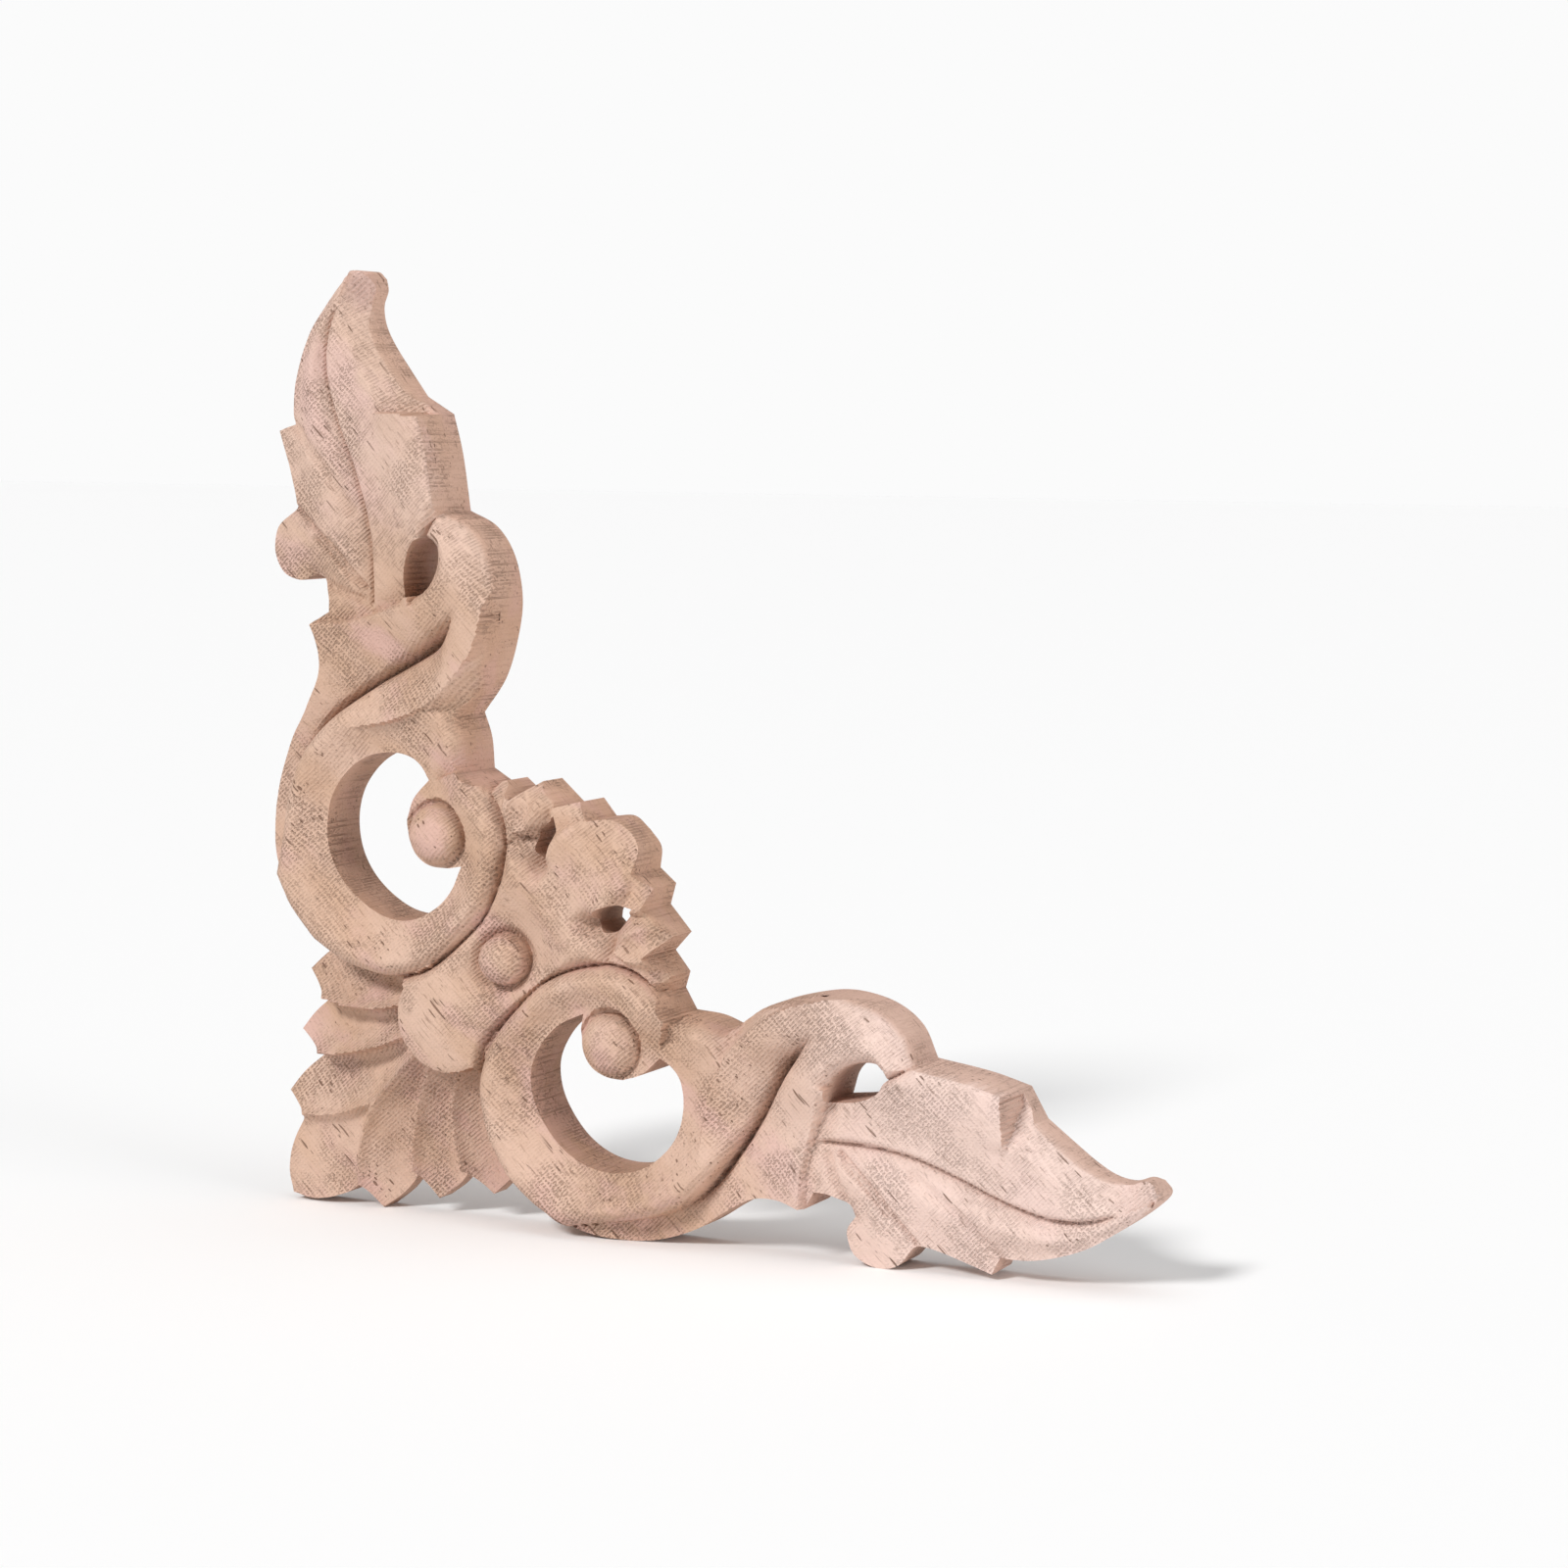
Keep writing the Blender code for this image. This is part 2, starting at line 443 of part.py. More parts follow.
def triangles(loops, extra):
    """Triangles that fill the outline around the openings, using every given point."""
    points = np.vstack(loops + ([extra] if len(extra) else []))
    edges = []
    start = 0
    for loop in loops:
        n = len(loop)
        edges += [(start + k, start + (k + 1) % n) for k in range(n)]
        start += n
    enclosed = 1    # only triangles within the loops are wanted, not those of the hull
    result = delaunay_2d_cdt([tuple(q) for q in points], edges, [], enclosed, 1e-6)
    where, faces, source = result[0], result[2], result[3]
    index = [src[0] for src in source]
    centre = np.array([np.mean([where[k][:] for k in face], axis=0) for face in faces])
    keep = np.ones(len(faces), bool)
    for loop in loops[1:]:
        keep &= ~inside(centre, loop)
    return points, [[index[k] for k in face] for face, on_wood in zip(faces, keep) if on_wood]


def build_onlay():
    """The solid: carved face, flat back, and straight walls along the outline and the openings."""
    loops = [outline(EDGE_STEP)] + openings(EDGE_STEP)
    points, front = triangles(loops, face_points(loops))
    _, back = triangles(loops, [])
    rim_count = sum(len(loop) for loop in loops)
    h = np.maximum(height(points), THINNEST)

    def place(u, v, up):
        return ((u - BOSS[0]) * MM, -up * MM, (v - BOSS[1]) * MM)

    verts = [place(u, v, up) for (u, v), up in zip(points, h)]
    verts += [place(u, v, 0.0) for u, v in points[:rim_count]]
    base = len(points)
    faces = [list(face) for face in front]
    faces += [[base + k for k in reversed(face)] for face in back]
    start = 0
    for loop in loops:
        n = len(loop)
        for k in range(n):
            a, b = start + k, start + (k + 1) % n
            faces.append([a, b, base + b, base + a])
        start += n
    mesh = bpy.data.meshes.new("corner_onlay")
    mesh.from_pydata(verts, [], faces)
    mesh.validate()
    onlay = bpy.data.objects.new("corner_onlay", mesh)
    bpy.context.collection.objects.link(onlay)
    return onlay


def face_outwards(onlay):
    """Triangles only, facing out, shaded smooth but for the crisp edges."""
    bpy.context.view_layer.objects.active = onlay
    onlay.select_set(True)
    bpy.ops.object.mode_set(mode="EDIT")
    bpy.ops.mesh.select_all(action="SELECT")
    bpy.ops.mesh.quads_convert_to_tris()
    bpy.ops.mesh.normals_make_consistent(inside=False)
    bpy.ops.object.mode_set(mode="OBJECT")
    onlay.data.shade_smooth()
    onlay.data.set_sharp_from_angle(angle=SHARP)


def wood():
    """Bare, pale, matt wood."""
    mat = bpy.data.materials.new("pale rubberwood")
    mat.use_nodes = True
    shader = mat.node_tree.nodes["Principled BSDF"]
    shader.inputs["Base Color"].default_value = WOOD_COLOUR
    shader.inputs["Roughness"].default_value = WOOD_ROUGHNESS
    shader.inputs["Metallic"].default_value = 0.0
    return mat


clear_scene()
onlay = build_onlay()
face_outwards(onlay)
onlay.data.materials.append(wood())
print("triangles", len(onlay.data.polygons), "size mm", [round(d / MM, 2) for d in onlay.dimensions])
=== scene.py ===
# %% [markdown]
# # A carved corner onlay
# An onlay is a thin carving that is glued to a door or a drawer front. This one is an L of two leafy arms that
# mirror each other about the diagonal through the corner. It is cut from one board, so it is one mesh here.
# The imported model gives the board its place: its flat back faces +Y and its carving faces -Y.

# %% Load the frame
import math

import bpy
import numpy as np
from mathutils import Matrix, Vector, noise
from mathutils.geometry import delaunay_2d_cdt


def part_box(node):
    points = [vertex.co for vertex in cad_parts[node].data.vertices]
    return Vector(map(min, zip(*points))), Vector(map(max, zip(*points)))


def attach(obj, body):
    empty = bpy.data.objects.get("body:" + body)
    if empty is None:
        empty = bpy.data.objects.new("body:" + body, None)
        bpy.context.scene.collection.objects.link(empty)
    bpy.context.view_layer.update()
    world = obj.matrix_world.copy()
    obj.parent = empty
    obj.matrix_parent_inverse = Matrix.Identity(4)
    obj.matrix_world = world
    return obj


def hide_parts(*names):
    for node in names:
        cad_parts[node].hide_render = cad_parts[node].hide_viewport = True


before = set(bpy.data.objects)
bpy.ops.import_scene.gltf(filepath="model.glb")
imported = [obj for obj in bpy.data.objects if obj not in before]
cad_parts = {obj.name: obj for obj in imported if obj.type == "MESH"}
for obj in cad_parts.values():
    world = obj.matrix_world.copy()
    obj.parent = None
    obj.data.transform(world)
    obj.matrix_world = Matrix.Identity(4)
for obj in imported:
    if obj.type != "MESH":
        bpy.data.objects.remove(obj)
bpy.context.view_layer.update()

MM = 0.001
board_low, board_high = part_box("corner_onlay")
BOARD_THICK = (board_high[1] - board_low[1]) / MM
print("board thickness", round(BOARD_THICK, 2))

# %% [markdown]
# ## The camera
# The onlay was looked at from its right and slightly above, from about four times its own size away. A camera's
# axes are written from its azimuth, its elevation and a small roll, which is how a photographer would describe it.

# %% Place the camera
AZIMUTH, ELEVATION, ROLL = math.radians(24.8), math.radians(5.5), math.radians(0.5)
FOCAL_PIXELS, IMAGE_PIXELS, SENSOR = 3751, 1600, 36.0
CAMERA_PLACE = Vector((190.2, -335.4, 61.1)) * MM

level = math.cos(ELEVATION)
back = Vector((math.sin(AZIMUTH) * level, -math.cos(AZIMUTH) * level, math.sin(ELEVATION)))
right = Vector((math.cos(AZIMUTH), math.sin(AZIMUTH), 0))
up = back.cross(right)
rolled_right = right * math.cos(ROLL) + up * math.sin(ROLL)
rolled_up = up * math.cos(ROLL) - right * math.sin(ROLL)
camera_data = bpy.data.cameras.new("camera")
camera_data.sensor_width = SENSOR
camera_data.lens = FOCAL_PIXELS / IMAGE_PIXELS * SENSOR
camera_data.clip_start = 0.01
camera = bpy.data.objects.new("camera", camera_data)
bpy.context.collection.objects.link(camera)
turn = Matrix((rolled_right, rolled_up, back)).transposed().to_4x4()
camera.matrix_world = Matrix.Translation(CAMERA_PLACE) @ turn
bpy.context.scene.camera = camera
print("lens", round(camera_data.lens, 1), "mm")

# %% [markdown]
# ## Drawing tools
# Every line of the carving is drawn on a flat grid in millimetres: u along the lower arm, v up the other. A drawn
# curve passes smoothly through a few points, as a flexible ruler does, and two curves meet in a sharp corner.

# %% Smooth curves and joined runs
def smooth(points, step):
    """Points along a smooth curve through the given ones (Catmull-Rom), or a straight run."""
    p = np.array(points, float)
    if len(p) == 2:
        n = max(1, round(math.dist(p[0], p[1]) / step))
        t = np.linspace(0, 1, n + 1)[:, None]
        return p[0] * (1 - t) + p[1] * t
    q = np.vstack([2 * p[0] - p[1], p, 2 * p[-1] - p[-2]])
    out = [p[0]]
    for a, b, c, d in zip(q, q[1:], q[2:], q[3:]):
        n = max(1, round(math.dist(b, c) / step))
        for t in np.linspace(0, 1, n + 1)[1:]:
            pull = (c - a) * t + (2 * a - 5 * b + 4 * c - d) * t ** 2 + (3 * b - a - 3 * c + d) * t ** 3
            out.append(b + 0.5 * pull)
    return np.array(out)


def join(runs, step):
    """One polyline from runs that meet at corners."""
    parts = [smooth(run, step) for run in runs]
    return np.vstack([parts[0]] + [part[1:] for part in parts[1:]])


print("a bend through three points:", len(smooth([(0, 0), (5, 2), (10, 0)], 1.0)), "points")

# %% [markdown]
# ## The outline
# On the real piece a fret saw or a router cuts the outline out of a board first. It is drawn here as runs of
# points that meet in corners: up the outer side with the fan's petals, the swelling of the scroll and the
# serrated leaf, and back down the inner side by the shoulder, the curl, the neck and the small petals. Only the
# upright arm is drawn. The other arm is its mirror image about the diagonal, so each point is looked up there.

# %% The outer side, from the corner to the tip
OUTER_RUNS = [
    [(1.7, 1.7), (1.3, 4.5), (2.1, 8.0), (3.6, 10.5)],
    [(3.6, 10.5), (1.0, 12.7)],
    [(1.0, 12.7), (3.0, 15.2), (5.7, 17.3)],
    [(5.7, 17.3), (2.6, 19.5)],
    [(2.6, 19.5), (4.2, 21.6), (6.3, 23.3)],
    [(6.3, 23.3), (3.7, 26.1)],
    [(3.7, 26.1), (5.4, 27.8), (7.5, 29.3)],
    [(7.5, 29.3), (4.2, 33.1), (2.0, 37.2), (1.1, 41.6), (1.2, 46.0), (2.7, 50.6), (5.0, 54.3),
     (6.8, 57.6), (7.1, 60.6), (6.4, 63.5)],
    [(6.4, 63.5), (8.2, 64.5)],
    [(8.2, 64.5), (8.0, 66.2), (7.0, 67.9), (5.8, 68.4)],
    [(5.8, 68.4), (4.2, 67.7), (2.1, 68.5), (1.0, 70.8), (1.4, 73.2), (3.4, 74.9)],
    [(3.4, 74.9), (3.6, 76.2), (2.9, 79.2), (1.6, 83.3)],
    [(1.6, 83.3), (3.3, 84.0)],
    [(3.3, 84.0), (3.5, 88.0), (4.9, 92.6), (7.2, 96.4), (9.4, 99.2), (10.6, 100.0), (11.6, 99.2)],
]
print("outer side", len(OUTER_RUNS), "runs")

# %% The inner side, from the tip to the diagonal
# Down past the shoulder, the curl and the neck, to the petals
TIP_RUN = [(11.6, 99.2), (11.8, 98.0), (11.3, 96.4), (11.6, 94.4), (12.7, 92.3), (14.5, 89.8), (16.6, 87.0)]
SHOULDER = (19.7, 85.2)
ARMPIT = (21.7, 75.2)
CURL_RUN = [ARMPIT, (24.9, 73.6), (27.0, 70.6), (27.9, 66.3), (27.4, 62.2), (26.0, 57.9), (23.4, 54.2)]
NECK_RUN = [(23.4, 54.2), (24.3, 51.6), (24.6, 48.4)]
PETAL_TIPS = [(28.5, 47.6), (32.6, 47.7), (37.5, 45.9)]
PETAL_NOTCHES = [(26.8, 47.1), (30.6, 45.9), (35.3, 45.3), (39.0, 44.1)]
SPOON_RUN = [(39.0, 44.1), (41.2, 44.2), (42.9, 42.9)]


def petal_runs():
    """The zigzag edge of the petals, from the neck to the spoon on the diagonal."""
    corners = [NECK_RUN[-1]]
    for notch, tip in zip(PETAL_NOTCHES, PETAL_TIPS):
        corners += [notch, tip]
    corners.append(PETAL_NOTCHES[-1])
    return [[a, b] for a, b in zip(corners, corners[1:])] + [SPOON_RUN]


def inner_runs():
    """Outline runs from the arm's tip down the inner side to the petals."""
    return [TIP_RUN, [TIP_RUN[-1], SHOULDER], [SHOULDER, (20.8, 81.0), ARMPIT], CURL_RUN, NECK_RUN]


def outline(step):
    """The closed outline: the upper half, and its mirror image back to the corner."""
    half = join(OUTER_RUNS + inner_runs() + petal_runs(), step)
    return np.vstack([half, half[::-1, ::-1][1:-1]])


print("outline", len(outline(1.0)), "points a millimetre apart")

# %% [markdown]
# The openings go right through: the eye of each scroll, the lens between the leaf and the curl, and the tear
# between the petals. A carver drills and saws them, so their walls are straight.

# %% The openings
SCROLL_HOLE = [
    [(20.4, 47.4), (19.6, 48.7), (18.3, 49.7), (16.2, 50.1), (13.4, 49.7), (10.9, 48.2), (8.9, 45.6),
     (8.1, 42.5), (8.5, 39.2), (10.0, 36.4), (12.4, 34.2), (15.2, 32.8), (18.2, 32.6), (21.0, 33.9),
     (23.0, 35.9), (24.3, 38.6)],
    [(24.3, 38.6), (22.2, 38.3), (20.2, 38.5), (18.7, 39.5), (17.9, 41.2), (17.8, 43.2)],
    [(17.8, 43.2), (18.6, 45.4), (20.4, 47.4)],
]
LENS_HOLE = [
    [(17.4, 66.0), (17.9, 69.6), (19.0, 71.9), (20.3, 72.6)],
    [(20.3, 72.6), (21.7, 71.5), (21.5, 69.0), (20.0, 66.9), (17.4, 66.0)],
]
TEAR_HOLE = [
    [(33.6, 39.7), (32.7, 40.9), (33.3, 42.7), (35.5, 44.5)],
    [(35.5, 44.5), (35.8, 42.6), (35.3, 40.9), (34.6, 39.9), (33.6, 39.7)],
]


def openings(step):
    """A closed loop for each opening, with its mirror image."""
    loops = []
    for runs in (SCROLL_HOLE, LENS_HOLE, TEAR_HOLE):
        loop = join(runs, step)[:-1]
        loops += [loop, loop[::-1, ::-1]]
    return loops


print("openings", len(openings(1.0)))

# %% [markdown]
# ## The carved face
# The face is one function: for a point of the flat design it gives the height over the back. A gouge leaves
# ridges and valleys along lines, so nearly every form is a height that depends on the distance to a drawn line.
# These are the few tools it needs. Sculpting by hand could give the same face, but it could not be measured.

# %% Distances and soft steps
SAMPLE = 1.0            # spacing of points on a line when distances to it are taken
TINY = 1e-6             # keeps a share of two distances from dividing by zero


def nearest(p, curve):
    """For each point: distance to a polyline, and the side it lies on (+1 is left)."""
    dist = np.full(len(p), np.inf)
    side = np.ones(len(p))
    for a, b in zip(curve, curve[1:]):
        ab = b - a
        ap = p - a
        t = np.clip(ap @ ab / (ab @ ab), 0, 1)
        off = ap - t[:, None] * ab
        d = np.hypot(off[:, 0], off[:, 1])
        closer = d < dist
        dist[closer] = d[closer]
        side[closer] = np.sign(ab[0] * ap[:, 1] - ab[1] * ap[:, 0])[closer]
    return dist, side


def to(p, run):
    """Distance to a carved line."""
    return nearest(p, smooth(run, SAMPLE))[0]


def inside(p, loop):
    """True where a point lies inside a closed loop."""
    hit = np.zeros(len(p), bool)
    for (x0, y0), (x1, y1) in zip(loop, np.roll(loop, -1, axis=0)):
        if y0 == y1:
            continue
        crossed = (p[:, 1] < y0) != (p[:, 1] < y1)
        hit ^= crossed & (p[:, 0] < x0 + (p[:, 1] - y0) * (x1 - x0) / (y1 - y0))
    return hit


def ease(x, lo=0.0, hi=1.0):
    """0 up to lo and 1 from hi on, with a soft step between."""
    t = np.clip((x - lo) / (hi - lo), 0, 1)
    return t * t * (3 - 2 * t)


def blend(a, b, k):
    """From a to b as k goes from 0 to 1."""
    return a * (1 - k) + b * k


def rolled(d, width):
    """0 at an edge, and 1 from the given width on, along a quarter circle."""
    return np.sqrt(1 - (1 - np.clip(d / width, 0, 1)) ** 2)


def dome(p, centre, radius, foot, top):
    """Height of a round dome, and 0 beside it."""
    r = np.hypot(p[:, 0] - centre[0], p[:, 1] - centre[1]) / radius
    return np.where(r < 1, foot + (top - foot) * np.sqrt(np.clip(1 - r * r, 0, 1)), 0)


print("halfway step", ease(0.5))

# %% [markdown]
# ### The fan
# Hollowed petals spread from the round boss to the outer corner. Each laps the next: it drops steeply from one
# arris and rises slowly to the following one, where the gouge left a thin raised rim.

# %% The fan
BOSS, BOSS_R = (22.8, 22.8), 5.9
BOSS_TOP, BOSS_FOOT = 8.2, 6.9
FAN_TOP, FAN_TIP, FAN_RIM = 6.0, 4.4, 0.4
FAN_REACH = 19.5        # from the boss's centre to where the petals' ends begin to droop
LAP_DEPTH = 2.3         # deepest hollow of a petal
FAN_ARRISES = [
    [(7.5, 29.3), (10.6, 27.8), (16.2, 26.6)],
    [(6.3, 23.3), (8.6, 22.8), (11.3, 22.6), (14.2, 22.9), (17.2, 23.6)],
    [(5.7, 17.3), (8.1, 17.4), (10.9, 18.0), (13.8, 18.8), (17.4, 20.2)],
    [(3.6, 10.5), (6.4, 10.7), (8.6, 11.1), (10.9, 12.0), (13.2, 13.2), (18.6, 18.6)],
]


def fan(p):
    """Hollowed leaves that spread from the boss to the outer corner, each lapping the next."""
    r = np.hypot(p[:, 0] - BOSS[0], p[:, 1] - BOSS[1])
    droop = 0.06 * np.clip(r - FAN_REACH, 0, 20)
    crest = FAN_TOP - (FAN_TOP - FAN_TIP) * ease(r, BOSS_R, FAN_REACH) - droop
    corner_side = []
    gap = []
    for run in FAN_ARRISES:
        d, side = nearest(p, smooth(run, SAMPLE))
        gap.append(d)
        corner_side.append(side < 0)
    h = crest.copy()
    for lap, away in zip(range(3), range(1, 4)):
        here = corner_side[lap] & ~corner_side[away]
        s = np.clip(gap[lap] / (gap[lap] + gap[away] + TINY), 0, 1) ** 0.5
        depth = np.clip(0.6 * (gap[lap] + gap[away]), 0, LAP_DEPTH)
        h = np.where(here, crest - depth * 4 * s * (1 - s), h)
    s = rolled(gap[3], 2.4)
    h = np.where(corner_side[3], crest - 1.0 * s * ease(r, 12, 17) + 0.5 * ease(gap[3], 1.5, 5), h)
    return h + FAN_RIM * np.exp(-(np.minimum.reduce(gap) / 0.5) ** 2)


print("fan height by the boss", fan(np.array([(12.0, 19.0)])).round(2))

# %% [markdown]
# ### The scroll band
# A dished band runs round the scroll's eye, as if a wide gouge had followed it. From there it rises and turns
# over into the S that leads to the curl, with a deep groove under the curl and a crease at the neck.

# %% The band's lines
GROOVE_RUN = [(29.2, 73.4), (27.7, 70.2), (26.1, 67.3), (24.2, 65.0), (22.4, 62.9), (20.4, 61.2),
              (17.5, 59.5), (14.0, 57.5), (10.5, 55.1), (7.4, 52.6), (5.2, 49.8), (3.9, 46.8), (3.1, 43.5),
              (2.6, 40.3), (2.0, 37.2)]
SCROLL_FOOT_RUN = [(7.0, 29.5), (9.0, 28.3), (11.5, 27.2), (16.0, 26.5), (20.5, 27.8), (24.4, 30.9),
                   (27.2, 34.0), (28.9, 37.8), (29.5, 41.8), (28.6, 45.0), (26.6, 47.2)]
BAND_RIDGE_RUN = [(28.4, 68.5), (27.6, 64.5), (26.6, 61.4), (24.9, 58.9), (22.7, 56.5), (20.6, 55.0),
                  (16.5, 53.4), (11.0, 52.4)]
NECK_CREASE_RUN = [(20.6, 55.0), (22.6, 52.0), (23.4, 49.3)]
TONGUE_RUN = [(20.2, 47.0), (22.7, 48.0), (24.7, 48.7), (26.9, 48.6)]
print("groove", len(GROOVE_RUN), "points")

# %% The band
BAND_FOOT, BAND_TOP, HOLE_EDGE = 5.2, 8.4, 6.5
CURL_TOP, CURL_EDGE, GROOVE_FLOOR = 8.8, 4.6, 5.0
NECK_TOP, NECK_EDGE = 8.2, 3.2


def groove_floor(p):
    """The groove under the curl, which runs out towards the inner side."""
    return GROOVE_FLOOR + (BAND_TOP - GROOVE_FLOOR) * ease(p[:, 0], 20.5, 25.0)


def band(p):
    """The dished C-scroll, and the S-shaped band that rises from it to the curl."""
    d_groove = to(p, GROOVE_RUN)
    d_rim = np.minimum(d_groove, to(p, SCROLL_FOOT_RUN))
    d_hole = nearest(p, join(SCROLL_HOLE, SAMPLE))[0]
    d_edge = to(p, OUTER_RUNS[7][:3])
    reach = np.minimum(d_rim, d_edge)
    dish = BAND_TOP - (BAND_TOP - HOLE_EDGE) * ease(reach / (reach + d_hole + TINY), 0.22, 1.0)
    scroll = blend(BAND_FOOT, dish, rolled(d_rim, 1.9))
    scroll = np.minimum(scroll, blend(BAND_FOOT + 1, BAND_TOP, rolled(d_edge, 1.2)))
    d_ridge, side = nearest(p, smooth(BAND_RIDGE_RUN, SAMPLE))
    floor = groove_floor(p)
    rise = floor + (BAND_TOP - floor) * (d_groove / (d_groove + d_ridge + TINY)) ** 0.8
    h = np.where(side < 0, blend(scroll, rise, ease(p[:, 0], 9.0, 16.0)), scroll)
    d_crease = to(p, NECK_CREASE_RUN)
    beyond = np.vstack([smooth(BAND_RIDGE_RUN[:6], SAMPLE), smooth(NECK_CREASE_RUN, SAMPLE),
                        [(24.7, 48.7), (40, 48.7), (40, 68.5)]])
    neck = np.maximum(NECK_TOP - 2.4 * d_ridge, 7.7 - 0.8 * d_crease)
    d_side = np.minimum(to(p, CURL_RUN[3:]), to(p, NECK_RUN))
    neck = np.minimum(neck, NECK_EDGE + 5.2 * rolled(d_side, 2.4))
    h = np.where(inside(p, beyond), np.maximum(neck, NECK_EDGE), h)
    d_tongue, tongue_side = nearest(p, smooth(TONGUE_RUN, SAMPLE))
    behind = (tongue_side > 0) & (p[:, 0] > 20.0) & (p[:, 1] > 46)
    return np.where(behind, h - 1.0 * (1 - ease(d_tongue, 0.0, 3.0)) * ease(p[:, 0], 20.6, 23.0), h)


print("band height left of the eye", band(np.array([(5.0, 42.0)])).round(2))

# %% [markdown]
# ### The curl
# A narrow strip swells out of the leaf's foot and becomes the round curl, the fullest form of the arm. Its upper
# right edge and the side by the lens are rounded over like a bolster. Lower down the edge turns crisp.

# %% The curl
LEAF_FOOT_RUN = [(6.4, 63.5), (10.0, 63.6), (14.0, 64.6), (17.4, 66.0)]


def curl(p):
    """The strip that swells from the leaf's foot into the rounded curl, over the groove."""
    d_groove = to(p, GROOVE_RUN)
    d_foot = to(p, LEAF_FOOT_RUN)
    slant = GROOVE_FLOOR + 0.4 * rolled(d_groove, 0.6) + 2.0 * d_groove / (d_groove + d_foot + TINY)
    floor = groove_floor(p)
    swell = floor + (CURL_TOP - floor) * rolled(d_groove, 5.6)
    h = blend(slant, swell, ease(p[:, 0], 14.0, 20.5))
    low = 6.1 - 1.3 * ease(p[:, 1], 38.0, 47.0)
    return np.where(p[:, 0] < 12, blend(low, h, ease(p[:, 1] + 0.3 * p[:, 0], 50.0, 58.0)), h)


def curl_edge(p):
    """The rounded edges at the curl's upper right, which turns crisp lower down, and by the lens."""
    d_edge = to(p, CURL_RUN[:5]) + 6 * ease(-p[:, 1], -68.0, -63.0)
    edge = CURL_EDGE + (CURL_TOP - CURL_EDGE) * rolled(d_edge, 4.5)
    edge = np.minimum(edge, LEAF_FOOT + (CURL_TOP - LEAF_FOOT) * rolled(to(p, LENS_HOLE[1]), 2.4))
    return np.where((p[:, 0] > 19) & (p[:, 1] > 61), edge, CURL_TOP)


print("curl height", curl(np.array([(24.0, 68.0)])).round(2))

# %% [markdown]
# ### The leaf
# An acanthus leaf ends the arm. A midrib groove parts it: the outer half is low with a few creases running in
# from its lobes, and the inner half climbs to a plateau with a square shoulder and falls again along a crest to
# the hooked tip.

# %% The leaf
LEAF_LOW, LEAF_FOOT, LEAF_TOP, TIP_DROP = 5.7, 6.2, 8.2, 2.2
BLADE_START = 85.4      # how far up the arm the plateau gives way to the blade
BLADE_EDGE = 2.6        # height that the blade keeps at its sharp edge
MIDRIB_RUN = [(13.4, 65.6), (13.3, 70.0), (12.6, 74.8), (11.0, 79.7), (9.1, 84.5), (7.8, 89.5), (8.0, 93.6),
              (9.2, 97.0), (10.4, 99.6)]
UPPER_CREST_RUN = [(15.6, 83.0), (14.9, 85.6), (13.5, 88.2), (11.8, 90.8), (10.2, 93.6), (9.1, 96.6),
                   (9.8, 98.4), (10.6, 99.6)]
# Points, half width and depth
CREASES = [
    ([(3.3, 84.0), (5.4, 82.0), (8.0, 79.0), (10.8, 75.0)], 0.6, 0.5),
    ([(3.6, 75.3), (6.5, 73.0), (9.5, 70.5), (12.4, 67.2)], 0.30, 0.6),
    ([(6.3, 72.2), (9.0, 69.9), (11.6, 67.6)], 0.25, 0.5),
    ([(5.8, 68.4), (9.0, 67.0), (12.0, 65.9)], 0.5, 0.6),
]


def leaf(p):
    """The acanthus leaf at the arm's end, parted by its midrib groove."""
    d, side = nearest(p, smooth(MIDRIB_RUN, SAMPLE))
    d_out = nearest(p, join(OUTER_RUNS[10:], SAMPLE))[0]
    outer = LEAF_LOW + 0.7 * ease(d, 0.0, 2.6) - 1.2 * ease(d / (d + d_out + TINY), 0.4, 1.0)
    for run, width, depth in CREASES:
        outer = outer - depth * np.exp(-(to(p, run) / width) ** 2)
    d_in = nearest(p, join(inner_runs()[:3], SAMPLE))[0]
    d_upper, upper_side = nearest(p, smooth(UPPER_CREST_RUN, SAMPLE))
    low = p[:, 1] + 0.06 * (p[:, 0] - 14) < BLADE_START
    top = LEAF_TOP - 1.0 - TIP_DROP * ease(p[:, 1], 88, 100)
    bank = LEAF_LOW + 0.9 * rolled(d, 0.9)
    blade = bank + (top - bank) * (d / (d + d_upper + TINY)) ** 0.9
    blade = np.where((upper_side > 0) & (p[:, 1] < 96.5), blade, np.maximum(top - 1.5 * d_upper, BLADE_EDGE))
    plateau = bank + (LEAF_TOP - bank) * ease(d / (d + d_in + TINY), 0.1, 0.85)
    plateau = plateau - 0.5 * (1 - rolled(d_in, 0.7))
    to_blade = ease(p[:, 1], 78, BLADE_START) * (1 - ease(p[:, 0], 13.5, 15.5))
    inner = np.where(low, blend(plateau, blade, to_blade), blade)
    h = np.where(side > 0, outer, inner) - 0.5 * np.exp(-(d / 0.3) ** 2) * ease(-p[:, 1], -99, -94)
    return blend(np.minimum(h, LEAF_FOOT), h, ease(to(p, LEAF_FOOT_RUN), 0.0, 2.4))


print("leaf height on the plateau", leaf(np.array([(17.5, 80.0)])).round(2))

# %% [markdown]
# ### The petals on the diagonal
# A smooth stem flares from a small bead into petals that lap each other, with a broad spoon in the middle. Each
# petal is a shallow bowl with a rim, laid over what is there already. A tongue joins the bead to the boss.

# %% The petals
BEAD, BEAD_R = (29.2, 29.2), 2.65
BEAD_TOP, BEAD_FOOT = 9.0, 5.8
PETAL_TOP, PETAL_TIP = 8.2, 3.6
STEM_REACH, STEM_LOW = 10.5, 2.8        # from the bead to the stem's end, and the height it falls to
